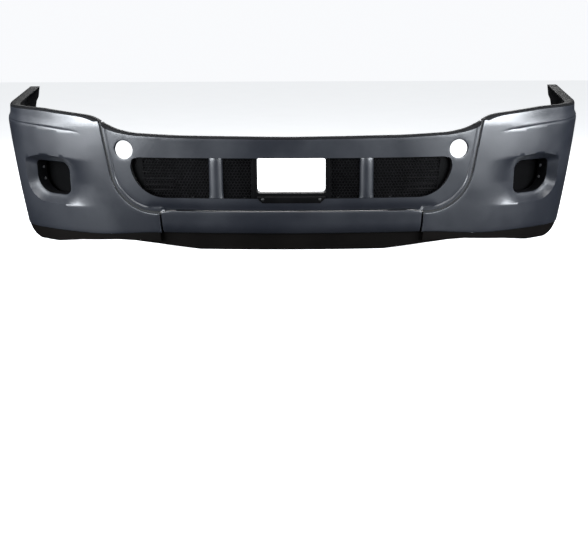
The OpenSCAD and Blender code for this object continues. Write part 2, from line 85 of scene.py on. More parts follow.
def along_arc(t: Array | float, run: float, h0: float, h1: float) -> tuple[Array, Array, Array]:
    """Where an arc leads after a distance.

    Args:
        t: Distance along the arc.
        run: Whole length of the arc.
        h0: Heading at its start, in radians.
        h1: Heading at its end, in radians.

    Returns:
        Shift in x, shift in y, and heading.
    """
    bend = (h1 - h0) / run
    h = h0 + bend * t
    if abs(bend) < TINY:
        return t * math.cos(h0), t * math.sin(h0), h
    return (np.sin(h) - math.sin(h0)) / bend, (math.cos(h0) - np.cos(h)) / bend, h


@dataclass(frozen=True)
class FaceShape:
    """The curved face that every cover follows: a chain of arcs in plan, leaning in downward."""

    middle_run: float = 505.0
    middle_turn: float = 8.0
    shoulder_run: float = 275.0
    shoulder_turn: float = 22.0
    flank_run: float = 410.0
    flank_turn: float = 40.0
    corner_radius: float = 298.0
    wing_turn: float = 88.0
    wing_run: float = 350.0
    wing_flange: float = 50.0
    lean_in: float = 82.0
    lean_top: float = 500.0
    lean_bow: float = 0.27
    centre_top: float = 463.0
    shoulder_top: float = 543.0
    corner_top: float = 567.0
    wing_top: float = 619.0
    wing_slant: float = 31.0

    @property
    def corner_start(self) -> float:
        """Distance along the face where the outer corner begins."""
        return self.middle_run + self.shoulder_run + self.flank_run

    @property
    def corner_end(self) -> float:
        """Distance along the face where the wing begins."""
        return self.corner_start + self.corner_radius * math.radians(self.wing_turn - self.flank_turn)

    @property
    def end(self) -> float:
        """Distance along the face to the rear of the wing."""
        return self.corner_end + self.wing_run

    def arcs(self) -> list[tuple[float, float]]:
        """Length and closing heading of each arc, from the centre line outward.

        Returns:
            The arcs, in order.
        """
        return [
            (self.middle_run, self.middle_turn),
            (self.shoulder_run, self.shoulder_turn),
            (self.flank_run, self.flank_turn),
            (self.corner_end - self.corner_start, self.wing_turn),
            (self.wing_run * 2.0, self.wing_turn),
        ]

    def walk(self, s: Array) -> tuple[Array, Array, Array]:
        """Plan position after a distance along the face.

        Args:
            s: Distances from the centre line, 0 or more.

        Returns:
            x, y and heading in radians, with y counted from the front.
        """
        s = np.asarray(s, dtype=float)
        x, y, heading = np.zeros_like(s), np.zeros_like(s), np.zeros_like(s)
        start, x0, y0, h0 = 0.0, 0.0, 0.0, 0.0
        for run, turn in self.arcs():
            here = s >= start - TINY
            h1 = math.radians(turn)
            dx, dy, h = along_arc(np.clip(s[here] - start, 0.0, run), run, h0, h1)
            x[here], y[here], heading[here] = x0 + dx, y0 + dy, h
            dx, dy, _ = along_arc(run, run, h0, h1)
            start, x0, y0, h0 = start + run, x0 + dx, y0 + dy, h1
        return x, y, heading

    def lean(self, z: Array) -> Array:
        """How far the face has leaned in at height z."""
        t = np.maximum(0.0, (self.lean_top - np.asarray(z, dtype=float)) / self.lean_top)
        return self.lean_in * (t * (1.0 - self.lean_bow) + t * t * self.lean_bow)

    @property
    def front_y(self) -> float:
        """Place of the foremost face line, so that the part's middle lies at y = 0.

        Returns:
            Its y.
        """
        rear = float(self.walk(np.array([self.end]))[1][0])
        flange = math.cos(math.radians(self.wing_turn)) * self.wing_flange
        return -(rear + flange + float(self.lean(self.centre_top))) / 2.0

    def top(self, s: Array) -> Array:
        """Height of the top edge at a distance along the face.

        Args:
            s: Distances along the face.

        Returns:
            The heights.
        """
        a, c, w = self.centre_top, self.corner_top, self.wing_top
        knots = [
            (0.0, a),
            (self.middle_run - 60.0, a + 5.0),
            (self.middle_run + 130.0, a + 13.0),
            (self.middle_run + 200.0, a + 27.0),
            (self.middle_run + 250.0, (a + self.shoulder_top) / 2.0 + 8.0),
            (self.middle_run + 290.0, self.shoulder_top - 9.0),
            (self.middle_run + 330.0, self.shoulder_top),
            (self.corner_start - 110.0, c - 5.0),
            (self.corner_start + 150.0, c),
            (self.corner_end, c + (w - c) * 0.2),
            (self.end, w),
        ]
        spread = 22.0
        shifts = np.linspace(-spread, spread, 5)
        rise = [np.interp(np.abs(s) + shift, *zip(*knots)) for shift in shifts]
        fade = smooth((self.end - np.abs(s)) / 60.0)
        return fade * sum(rise) / len(rise) + (1.0 - fade) * rise[2]

    def point(self, s: Array, z: Array, depth: Array) -> Array:
        """Points of the face set back by a depth along its normal.

        Args:
            s: Signed distance along the face from the centre line.
            z: Height.
            depth: Distance behind the face.

        Returns:
            Array of x, y, z rows in millimetres.
        """
        s = np.asarray(s, dtype=float)
        x, y, h = self.walk(np.abs(s))
        back = self.lean(z) + depth
        sign = np.where(s < 0, -1.0, 1.0)
        z = np.broadcast_to(np.asarray(z, dtype=float), s.shape)
        return np.stack([sign * (x - np.sin(h) * back), y + self.front_y + np.cos(h) * back, z], axis=1)

    def run_at(self, x: Array, z: Array, depth: Array | float = 0.0) -> Array:
        """Signed distance along the face that shows at x in front view at height z and a depth.

        Args:
            x: Places across the front, as seen from the front.
            z: Heights.
            depth: Distance behind the face.

        Returns:
            The distances, negative on the left.
        """
        x = np.asarray(x, dtype=float)
        s = np.abs(x).copy()
        for _ in range(12):
            px, _, h = self.walk(s)
            s = s + (np.abs(x) - (px - np.sin(h) * (self.lean(z) + depth))) / np.maximum(np.cos(h), 0.3)
        return np.where(x < 0, -s, s)

    def run_of(self, x: float, z: float) -> float:
        """Distance along the face that shows at x in front view at height z."""
        return float(self.run_at(np.array([x]), np.array([z]))[0])


FACE = FaceShape()


# ---------------------------------------------------------------- outlines

def rounded(corners: Sequence[tuple[float, float, float]], step: float = 6.0) -> Array:
    """Outline with its corners rounded by arcs.

    Args:
        corners: x, z and radius of each corner, in order.
        step: Greatest length of a chord along an arc.

    Returns:
        Array of x, z rows of the closed outline.
    """
    points: list[Array] = []
    n = len(corners)
    for i in range(n):
        c = np.array(corners[i][:2])
        radius = corners[i][2]
        if radius <= 0.0:
            points.append(c)
            continue
        u = np.array(corners[i - 1][:2]) - c
        v = np.array(corners[(i + 1) % n][:2]) - c
        u, v = u / np.linalg.norm(u), v / np.linalg.norm(v)
        half = math.acos(float(np.clip(u @ v, -1.0, 1.0))) / 2.0
        run = radius / math.tan(half)
        bisector = (u + v) / np.linalg.norm(u + v)
        middle = c + bisector * radius / math.sin(half)
        a = (c + u * run - middle) / radius
        b = (c + v * run - middle) / radius
        sweep = math.pi - 2.0 * half
        count = max(3, int(math.ceil(sweep * radius / step)))
        for k in range(count + 1):
            t = k / count
            mix = a * math.sin((1.0 - t) * sweep) + b * math.sin(t * sweep)
            points.append(middle + radius * mix / math.sin(sweep))
    return np.array(points)


def both_sides(half: Sequence[tuple[float, float, float]]) -> list[tuple[float, float, float]]:
    """Corners of an outline that is the same on both sides, from its right half."""
    return list(half) + [(-x, z, r) for x, z, r in reversed(half)]


def refine(loop: Array, step: float, closed: bool = True) -> Array:
    """Splits the long edges of an outline so that none is longer than step.

    Args:
        loop: Closed outline.
        step: Greatest gap between points.
        closed: Whether the last point joins the first.

    Returns:
        The finer line.
    """
    out: list[Array] = []
    n = len(loop)
    for i in range(n if closed else n - 1):
        a, b = loop[i], loop[(i + 1) % n]
        count = max(1, int(math.ceil(np.linalg.norm(b - a) / step)))
        out.extend(a + (b - a) * k / count for k in range(count))
    if not closed:
        out.append(loop[-1])
    return np.array(out)


def tidy(loop: Array, least: float = 0.8) -> Array:
    """Drops points of a closed outline that lie almost on the one before.

    Args:
        loop: Closed outline.
        least: Smallest gap kept between points.

    Returns:
        The outline without them.
    """
    keep = [loop[0]]
    for p in loop[1:]:
        if np.linalg.norm(p - keep[-1]) > least:
            keep.append(p)
    if np.linalg.norm(keep[0] - keep[-1]) < least:
        keep.pop()
    return np.array(keep)


def area(loop: Array) -> float:
    """Signed area of an outline, positive when it runs anticlockwise."""
    x, y = loop[:, 0], loop[:, 1]
    return 0.5 * float(np.sum(x * np.roll(y, -1) - np.roll(x, -1) * y))


def turned(loop: Array, hole: bool = False) -> Array:
    """The outline in the order that a rim needs: anticlockwise, or clockwise for a hole."""
    return loop if (area(loop) > 0.0) != hole else loop[::-1]


def on_face(outline: Array, depth: Array | float = 0.0) -> Array:
    """Front-view outline that lies at a depth, as distances along the face and heights."""
    return np.stack([FACE.run_at(outline[:, 0], outline[:, 1], depth), outline[:, 1]], axis=1)


def inward(loop: Array) -> Array:
    """Mitred normals of an outline, pointing to its left, where the material is.

    Args:
        loop: Closed outline.

    Returns:
        One normal for each point.
    """
    before = loop - np.roll(loop, 1, axis=0)
    after = np.roll(loop, -1, axis=0) - loop
    before = before / np.linalg.norm(before, axis=1)[:, None]
    after = after / np.linalg.norm(after, axis=1)[:, None]
    n1 = np.stack([-before[:, 1], before[:, 0]], axis=1)
    n2 = np.stack([-after[:, 1], after[:, 0]], axis=1)
    grow = 1.0 + np.sum(n1 * n2, axis=1)
    return (n1 + n2) / np.maximum(grow, 0.5)[:, None]


def inside(points: Array, loop: Array) -> Array:
    """Tells which points lie inside a closed outline.

    Args:
        points: Points, one a row.
        loop: Closed outline.

    Returns:
        True for each point inside.
    """
    x, y = points[:, 0], points[:, 1]
    hit = np.zeros(len(points), dtype=bool)
    for a, b in zip(loop, np.roll(loop, -1, axis=0)):
        if a[1] == b[1]:
            continue
        crosses = (a[1] > y) != (b[1] > y)
        hit ^= crosses & (x < (b[0] - a[0]) * (y - a[1]) / (b[1] - a[1]) + a[0])
    return hit


def distance(points: Array, line: Array, closed: bool = False) -> Array:
    """Distance of each point from a line of points.

    Args:
        points: Points, one a row.
        line: Line of points.
        closed: Whether the last point joins the first.

    Returns:
        The distances.
    """
    best = np.full(len(points), 1e9)
    last = len(line) if closed else len(line) - 1
    for i in range(last):
        a, b = line[i], line[(i + 1) % len(line)]
        ab = b - a
        t = np.clip(((points - a) @ ab) / max(float(ab @ ab), 1e-9), 0.0, 1.0)
        best = np.minimum(best, np.linalg.norm(points - a - t[:, None] * ab, axis=1))
    return best


# ---------------------------------------------------------------- sheets

@dataclass
class Rim:
    """One edge of a sheet, rounded over and run back as a wall.

    Attributes:
        loop: Closed outline on the face, with the material on its left.
        radius: Radius of the rounded edge, one number or one for each point.
        back: Depth at which the wall ends, one number or one for each point.
        slot: Material slot of the wall, one number or one for each point.
        slot_from: Angle of the rounded edge, in degrees, from which the wall's slot is used.
    """

    loop: Array
    radius: float | Array = 4.0
    back: float | Array = 12.0
    slot: int | Array = 0
    slot_from: float = 0.0

    def spread(self, value: float | Array) -> Array:
        """One value for each point of the outline."""
        return np.broadcast_to(np.asarray(value, dtype=float), (len(self.loop),)).copy()


class Draft:
    """Collects points and faces, and turns them into a clean mesh object."""

    def __init__(self) -> None:
        """Starts empty."""
        self.points: list[Array] = []
        self.rub_and_highlight: list[Array] = []
        self.faces: list[tuple[int, ...]] = []
        self.slots: list[int] = []
        self.count = 0

    def add(self, points: Array, rub_and_highlight: float | Array = 0.0) -> int:
        """Adds points in millimetres and returns the index of the first.

        Args:
            points: Points, one a row.
            rub_and_highlight: How rubbed the points are, 0 to 1; on the grille it places painted highlights.

        Returns:
            Index or node added.
        """
        first = self.count
        self.points.append(np.asarray(points, dtype=float))
        self.rub_and_highlight.append(np.broadcast_to(np.asarray(rub_and_highlight, dtype=float), (len(points),)).copy())
        self.count += len(points)
        return first

    def band(self, a: int, b: int, n: int, slots: Array | None = None) -> None:
        """Joins two rings of n points with quads.

        Args:
            a: Index of the first ring's first point.
            b: Index of the second ring's first point.
            n: Points in each ring.
            slots: Material slot of each quad.
        """
        for i in range(n):
            j = (i + 1) % n
            self.faces.append((a + i, b + i, b + j, a + j))
            self.slots.append(0 if slots is None else int(slots[i]))

    def cap(self, first: int, n: int, flip: bool = False) -> None:
        """Closes a ring of n points with one face.

        Args:
            first: Index of the first point.
            n: Points in each row.
            flip: Turns the face round.
        """
        ring = tuple(range(first, first + n))
        self.faces.append(ring[::-1] if flip else ring)
        self.slots.append(0)

    def tube(self, rings: Sequence[Array], rub_and_highlight: float = 0.0) -> None:
        """Joins rings of points into one closed solid with a flat face at each end.

        Args:
            rings: Rings of x, y, z rows, each with the same number of points.
            rub_and_highlight: How rubbed the surface is, 0 to 1; on the grille ribs it places painted
                highlights.
        """
        n = len(rings[0])
        starts = [self.add(ring, rub_and_highlight) for ring in rings]
        for a, b in zip(starts, starts[1:]):
            self.band(b, a, n)
        self.cap(starts[0], n, flip=True)
        self.cap(starts[-1], n)

    def make(self, name: str, thickness: float = 0.0, merge: float = 0.02,
             mirror: bool = False, sharp: float = 50.0) -> bpy.types.Object:
        """Builds the mesh object.

        Args:
            name: Name of the piece.
            thickness: Thickness grown behind the surface, in millimetres.
            merge: Points nearer than this are joined, in millimetres.
            mirror: Builds the piece for the other end.
            sharp: Edges bent more than this many degrees shade as sharp.

        Returns:
            The new object, linked to the scene.
        """
        points = np.concatenate(self.points) * MM
        rub_and_highlight = np.concatenate(self.rub_and_highlight)
        if mirror:
            points = points * np.array([-1.0, 1.0, 1.0])
        bm = bmesh.new()
        layer = bm.verts.layers.float.new("rub_and_highlight")
        verts = [bm.verts.new(p) for p in points]
        for v, w in zip(verts, rub_and_highlight):
            v[layer] = w
        bm.verts.ensure_lookup_table()
        for face, slot in zip(self.faces, self.slots):
            order = face[::-1] if mirror else face
            f = bm.faces.new([verts[i] for i in order])
            f.material_index = slot
            f.smooth = True
        bmesh.ops.remove_doubles(bm, verts=bm.verts, dist=merge * MM)
        bmesh.ops.dissolve_degenerate(bm, dist=1e-6, edges=bm.edges)
        loose = [v for v in bm.verts if not v.link_faces]
        bmesh.ops.delete(bm, geom=loose, context="VERTS")
        mesh = bpy.data.meshes.new(name)
        bm.to_mesh(mesh)
        bm.free()
        obj = bpy.data.objects.new(name, mesh)
        bpy.context.scene.collection.objects.link(obj)
        if thickness > 0.0:
            thicken(obj, thickness)
        obj.data.set_sharp_from_angle(angle=math.radians(sharp))
        return obj


def thicken(obj: bpy.types.Object, thickness: float) -> None:
    """Grows an open sheet backward into a closed shell of the given thickness in millimetres.

    Args:
        obj: The mesh object.
        thickness: Wall thickness in millimetres.
    """
    while len(obj.data.materials) < 2:
        obj.data.materials.append(None)
    mod = obj.modifiers.new("shell", "SOLIDIFY")
    mod.thickness = thickness * MM
    mod.offset = -1.0
    mod.use_even_offset = False
    # Back faces and shell edges take slot 1, which on the cover skins is the near-black painted shade finish.
    mod.material_offset = 1
    mod.material_offset_rim = 1
    depsgraph = bpy.context.evaluated_depsgraph_get()
    shell = bpy.data.meshes.new_from_object(obj.evaluated_get(depsgraph))
    obj.modifiers.clear()
    old = obj.data
    obj.data = shell
    bpy.data.meshes.remove(old)
    shell.name = obj.name


@dataclass
class Sheet:
    """A smooth moulded sheet over the face, with rounded edges.

    Attributes:
        rims: The edges; the first one is the outer edge.
        depth: Rule for the depth of the sheet behind the face.
        base: Depth added everywhere.
        step: Spacing of the points inside.
        creases: Lines on the face that the mesh follows exactly.
        draft: The mesh as it grows.
    """

    rims: list[Rim]
    depth: DepthRule | None = None
    base: float = 0.0
    step: float = 11.0
    creases: list[Array] = field(default_factory=list)
    draft: Draft = field(default_factory=Draft)

    ROUND_STEPS = (0.0, 18.0, 36.0, 54.0, 72.0, 90.0)
    ROW_SHARE = 0.87
    EDGE_ROOM = 0.55
    CREASE_ROOM = 0.5

    def set_back(self, s: Array, z: Array) -> Array:
        """Depth of the sheet behind the face."""
        extra = self.depth(s, z) if self.depth else 0.0
        return self.base + extra

    def place(self, flat: Array) -> Array:
        """Points of the sheet for places on the face."""
        s, z = flat[:, 0], flat[:, 1]
        return FACE.point(s, z, self.set_back(s, z))

    def rim_strips(self, rim: Rim) -> Array:
        """Builds one rounded edge and its wall.

        Args:
            rim: The edge.

        Returns:
            The line where the edge meets the sheet.
        """
        loop, normal = rim.loop, inward(rim.loop)
        radius = rim.spread(rim.radius)
        back = rim.spread(rim.back)
        slots = rim.spread(rim.slot)
        level = self.set_back(loop[:, 0], loop[:, 1])
        n = len(loop)
        rows: list[int] = []
        for angle in self.ROUND_STEPS:
            a = math.radians(angle)
            mix = 1.0 - math.sin(a)
            flat = loop + normal * (radius * mix)[:, None]
            own = self.set_back(flat[:, 0], flat[:, 1])
            depth = own * mix + level * (1.0 - mix) + radius * (1.0 - math.cos(a))
            points = FACE.point(flat[:, 0], flat[:, 1], depth)
            rows.append(self.draft.add(points, math.sin(2.0 * a) ** 2))
        for k in range(len(rows) - 1):
            own_slots = slots if self.ROUND_STEPS[k] >= rim.slot_from else None
            self.draft.band(rows[k], rows[k + 1], n, own_slots)
        last = rows[-1]
        for t in (0.5, 1.0):
            depth = level + radius + np.maximum(back - radius, 1.0) * t
            row = self.draft.add(FACE.point(loop[:, 0], loop[:, 1], depth))
            self.draft.band(last, row, n, slots)
            last = row
        return loop + normal * radius[:, None]

    def fill(self, edges: list[Array]) -> None:
        """Fills the sheet between its edges with an even triangle net.

        Args:
            edges: Closed lines, the outer one first.
        """
        outer = edges[0]
        low, high = outer.min(axis=0), outer.max(axis=0)
        xs = np.arange(low[0] + self.step / 2, high[0], self.step)
        zs = np.arange(low[1] + self.step / 2, high[1], self.step * self.ROW_SHARE)
        gx, gz = np.meshgrid(xs, zs)
        gx = gx + (np.arange(len(zs)) % 2)[:, None] * self.step / 2
        grid = np.stack([gx.ravel(), gz.ravel()], axis=1)
        keep = inside(grid, outer)
        for hole in edges[1:]:
            keep &= ~inside(grid, hole)
        grid = grid[keep]
        for line in edges:
            grid = grid[distance(grid, line, closed=True) > self.step * self.EDGE_ROOM]
        for line in self.creases:
            grid = grid[distance(grid, line) > self.step * self.CREASE_ROOM]
        points = [tuple(p) for p in grid]
        lines: list[tuple[int, int]] = []
        for line, closed in [(e, True) for e in edges] + [(c, False) for c in self.creases]:
            first, n = len(points), len(line)
            points.extend(tuple(p) for p in line)
            lines.extend((first + i, first + (i + 1) % n) for i in range(n if closed else n - 1))
        verts, _, faces, _, _, _ = delaunay_2d_cdt([Vector(p) for p in points], lines, [], 0, 1e-4)
        flat = np.array([(v.x, v.y) for v in verts])
        tris = np.array([f for f in faces if len(f) == 3])
        centre = flat[tris].mean(axis=1)
        good = inside(centre, outer)
        for hole in edges[1:]:
            good &= ~inside(centre, hole)
        tris = tris[good]
        first = self.draft.add(self.place(flat))
        for a, b, c in tris:
            cross = np.cross(flat[b] - flat[a], flat[c] - flat[a])
            tri = (a, b, c) if cross > 0 else (a, c, b)
            self.draft.faces.append(tuple(first + int(i) for i in tri))
            self.draft.slots.append(0)

    def build(self, name: str, thickness: float = 3.0, mirror: bool = False) -> bpy.types.Object:
        """Builds the sheet as a closed shell.

        Args:
            name: Name of the piece.
            thickness: Wall thickness in millimetres.
            mirror: Builds the piece for the left end.

        Returns:
            The new object.
        """
        edges = [self.rim_strips(rim) for rim in self.rims]
        self.fill(edges)
        return self.draft.make(name, thickness, mirror=mirror)


# ---------------------------------------------------------------- finishes

class Tree:
    """Small helper that adds and links shader nodes."""

    def __init__(self, tree: bpy.types.NodeTree) -> None:
        """Starts on an empty node tree."""
        self.tree = tree
        tree.nodes.clear()

    def add(self, kind: str, **values: object) -> bpy.types.Node:
        """Adds a node and sets its properties, or its inputs where a name is an input's.

        Args:
            kind: Kind of node.
            values: Values of its inputs.

        Returns:
            Index or node added.
        """
        node = self.tree.nodes.new(kind)
        for key, value in values.items():
            setattr(node, key, value)
        return node

    def link(self, source: bpy.types.NodeSocket, target: bpy.types.NodeSocket) -> None:
        """Links two sockets."""
        self.tree.links.new(source, target)

    def put(self, value: object, socket: bpy.types.NodeSocket) -> None:
        """Links a socket, or sets a number or an RGB triple.

        Args:
            value: Socket, number or RGB triple.
            socket: Socket that takes the value.
        """
        if isinstance(value, bpy.types.NodeSocket):
            self.link(value, socket)
        else:
            socket.default_value = (*value, 1.0) if isinstance(value, tuple) else value

    def noise(self, vector: bpy.types.NodeSocket, scale: object, detail: float = 4.0,
              rough: float = 0.5) -> bpy.types.NodeSocket:
        """Adds a noise texture.

        Args:
            vector: Place at which the texture is read.
            scale: Number or socket.
            detail: Levels of detail.
            rough: Share of the fine levels.

        Returns:
            The value of the noise.
        """
        node = self.add("ShaderNodeTexNoise")
        self.put(scale, node.inputs["Scale"])
        node.inputs["Detail"].default_value = detail
        node.inputs["Roughness"].default_value = rough
        self.link(vector, node.inputs["Vector"])
        return node.outputs["Fac"]

    def math(self, operation: str, a: object, b: object = 0.0, clamp: bool = False) -> bpy.types.NodeSocket:
        """Adds a math node; each operand is a socket or a number.

        Args:
            operation: Name of the operation.
            a: First operand.
            b: Second operand.
            clamp: Whether the result stays within 0 and 1.

        Returns:
            The result.
        """
        node = self.add("ShaderNodeMath", operation=operation, use_clamp=clamp)
        self.put(a, node.inputs[0])
        self.put(b, node.inputs[1])
        return node.outputs[0]

    def spread(self, value: bpy.types.NodeSocket, low: float, high: float) -> bpy.types.NodeSocket:
        """Stretches the range low to high of a value to 0 to 1.

        Args:
            value: Value to stretch.
            low: Value that becomes 0.
            high: Value that becomes 1.

        Returns:
            The stretched value.
        """
        node = self.add("ShaderNodeMapRange", clamp=True, interpolation_type="SMOOTHSTEP")
        node.inputs["From Min"].default_value = low
        node.inputs["From Max"].default_value = high
        self.link(value, node.inputs["Value"])
        return node.outputs["Result"]

    def mix(self, fac: bpy.types.NodeSocket, a: object, b: object) -> bpy.types.NodeSocket:
        """Mixes two colours; each is a socket or an RGB triple.

        Args:
            fac: Share of the second colour.
            a: First colour.
            b: Second colour.

        Returns:
            The mixed colour.
        """
        node = self.add("ShaderNodeMix", data_type="RGBA")
        self.link(fac, node.inputs[0])
        self.put(a, node.inputs[6])
        self.put(b, node.inputs[7])
        return node.outputs[2]

    def for_eye(self, hidden: bpy.types.Node, seen: bpy.types.Node, output: str) -> None:
        """Shows one shader to the camera and lets another one light the scene.

        Args:
            hidden: Node that lights the scene.
            seen: Node that the camera sees.
            output: Kind of the output node.
        """
        choose = self.add("ShaderNodeMixShader")
        self.link(self.add("ShaderNodeLightPath").outputs["Is Camera Ray"], choose.inputs[0])
        self.link(hidden.outputs[0], choose.inputs[1])
        self.link(seen.outputs[0], choose.inputs[2])
        self.link(choose.outputs[0], self.add(output).inputs[0])

    def place(self) -> bpy.types.NodeSocket:
        """The place on the object, in metres."""
        return self.add("ShaderNodeTexCoord").outputs["Object"]


class Effects:
    """Shader node groups that several finishes use, each made once."""

    @staticmethod
    def start(name: str, inputs: dict[str, float], outputs: Sequence[str]) -> tuple[Tree, dict, dict]:
        """Begins a group with number inputs and outputs.

        Args:
            name: Name of the group.
            inputs: Names and first values of its inputs.
            outputs: Names of its outputs.

        Returns:
            The tree, the input sockets by name and the output sockets by name.
        """
        group = bpy.data.node_groups.new(name, "ShaderNodeTree")
        for key, value in inputs.items():
            socket = group.interface.new_socket(key, in_out="INPUT", socket_type="NodeSocketFloat")
            socket.default_value = value
        for key in outputs:
            group.interface.new_socket(key, in_out="OUTPUT", socket_type="NodeSocketFloat")
        tree = Tree(group)
        enter, leave = tree.add("NodeGroupInput"), tree.add("NodeGroupOutput")
        return tree, {s.name: s for s in enter.outputs}, {s.name: s for s in leave.inputs}

    @staticmethod
    @cache
    def colour_variation() -> bpy.types.NodeTree:
        """Slow cloudy change and fine speckle of colour over a surface.

        Returns:
            The node group.
        """
        tree, given, out = Effects.start("colour variation", {"Cloud scale": 5.0, "Speckle scale": 240.0},
                                         ("Cloud", "Speckle"))
        place = tree.place()
        for key, detail in (("Cloud", 5.0), ("Speckle", 3.0)):
            noise = tree.noise(place, given[f"{key} scale"], detail)
            tree.link(tree.spread(noise, 0.3, 0.7), out[key])
        return tree.tree

    @staticmethod
    @cache
    def edge_rub_and_highlight() -> bpy.types.NodeTree:
        """Rubbed edges, and painted highlights on the grille: strongest on sharp or rounded-over edges,
        broken up by noise.

        Returns:
            The node group.
        """
        tree, given, out = Effects.start("edge rub and highlight", {"Width": 0.002, "Amount": 0.5, "Breakup scale": 60.0},
                                         ("Mask",))
        bevel = tree.add("ShaderNodeBevel", samples=4)
        tree.link(given["Width"], bevel.inputs["Radius"])
        dot = tree.add("ShaderNodeVectorMath", operation="DOT_PRODUCT")
        tree.link(bevel.outputs["Normal"], dot.inputs[0])
        tree.link(tree.add("ShaderNodeNewGeometry").outputs["Normal"], dot.inputs[1])
        sharp = tree.spread(tree.math("SUBTRACT", 1.0, dot.outputs["Value"], clamp=True), 0.02, 0.25)
        rolled = tree.add("ShaderNodeAttribute", attribute_name="rub_and_highlight").outputs["Fac"]
        edge = tree.math("MAXIMUM", sharp, tree.math("MULTIPLY", rolled, 0.7))
        patchy = tree.spread(tree.noise(tree.place(), given["Breakup scale"], 6.0), 0.38, 0.62)
        mask = tree.math("MULTIPLY", edge, tree.math("ADD", tree.math("MULTIPLY", patchy, 0.8), 0.2))
        tree.link(tree.math("MULTIPLY", mask, given["Amount"], clamp=True), out["Mask"])
        return tree.tree

    @staticmethod
    @cache
    def road_dust() -> bpy.types.NodeTree:
        """Thin dust that settles on faces looking up and gathers low on the bumper.

        Returns:
            The node group.
        """
        tree, given, out = Effects.start("road dust", {"Amount": 0.3, "Height": 0.25}, ("Mask",))
        place = tree.place()
        facing, where = tree.add("ShaderNodeSeparateXYZ"), tree.add("ShaderNodeSeparateXYZ")
        tree.link(tree.add("ShaderNodeNewGeometry").outputs["Normal"], facing.inputs[0])
        tree.link(place, where.inputs[0])
        up = tree.spread(facing.outputs["Z"], 0.2, 0.95)
        low = tree.math("SUBTRACT", 1.0, tree.math("DIVIDE", where.outputs["Z"], given["Height"]), clamp=True)
        patchy = tree.spread(tree.noise(place, 26.0, 7.0, 0.65), 0.35, 0.75)
        both = tree.math("ADD", tree.math("MULTIPLY", up, 0.8), tree.math("MULTIPLY", low, 0.6), clamp=True)
        mask = tree.math("MULTIPLY", tree.math("MULTIPLY", both, patchy), given["Amount"], clamp=True)
        tree.link(mask, out["Mask"])
        return tree.tree

    @staticmethod
    @cache
    def surface_relief() -> bpy.types.NodeTree:
        """Fine relief: moulded leather-like pits, mixed with slow waves of a thin moulding.

        Returns:
            The node group.
        """
        inputs = {"Grain scale": 700.0, "Grain": 0.5, "Wave scale": 14.0, "Wave": 0.5}
        tree, given, out = Effects.start("surface relief", inputs, ("Height",))
        place = tree.place()
        pits = tree.add("ShaderNodeTexVoronoi", feature="SMOOTH_F1")
        tree.link(place, pits.inputs["Vector"])
        tree.link(given["Grain scale"], pits.inputs["Scale"])
        grain = tree.math("MULTIPLY", pits.outputs["Distance"], given["Grain"])
        wave = tree.math("MULTIPLY", tree.noise(place, given["Wave scale"], 2.0), given["Wave"])
        tree.link(tree.math("ADD", grain, wave), out["Height"])
        return tree.tree


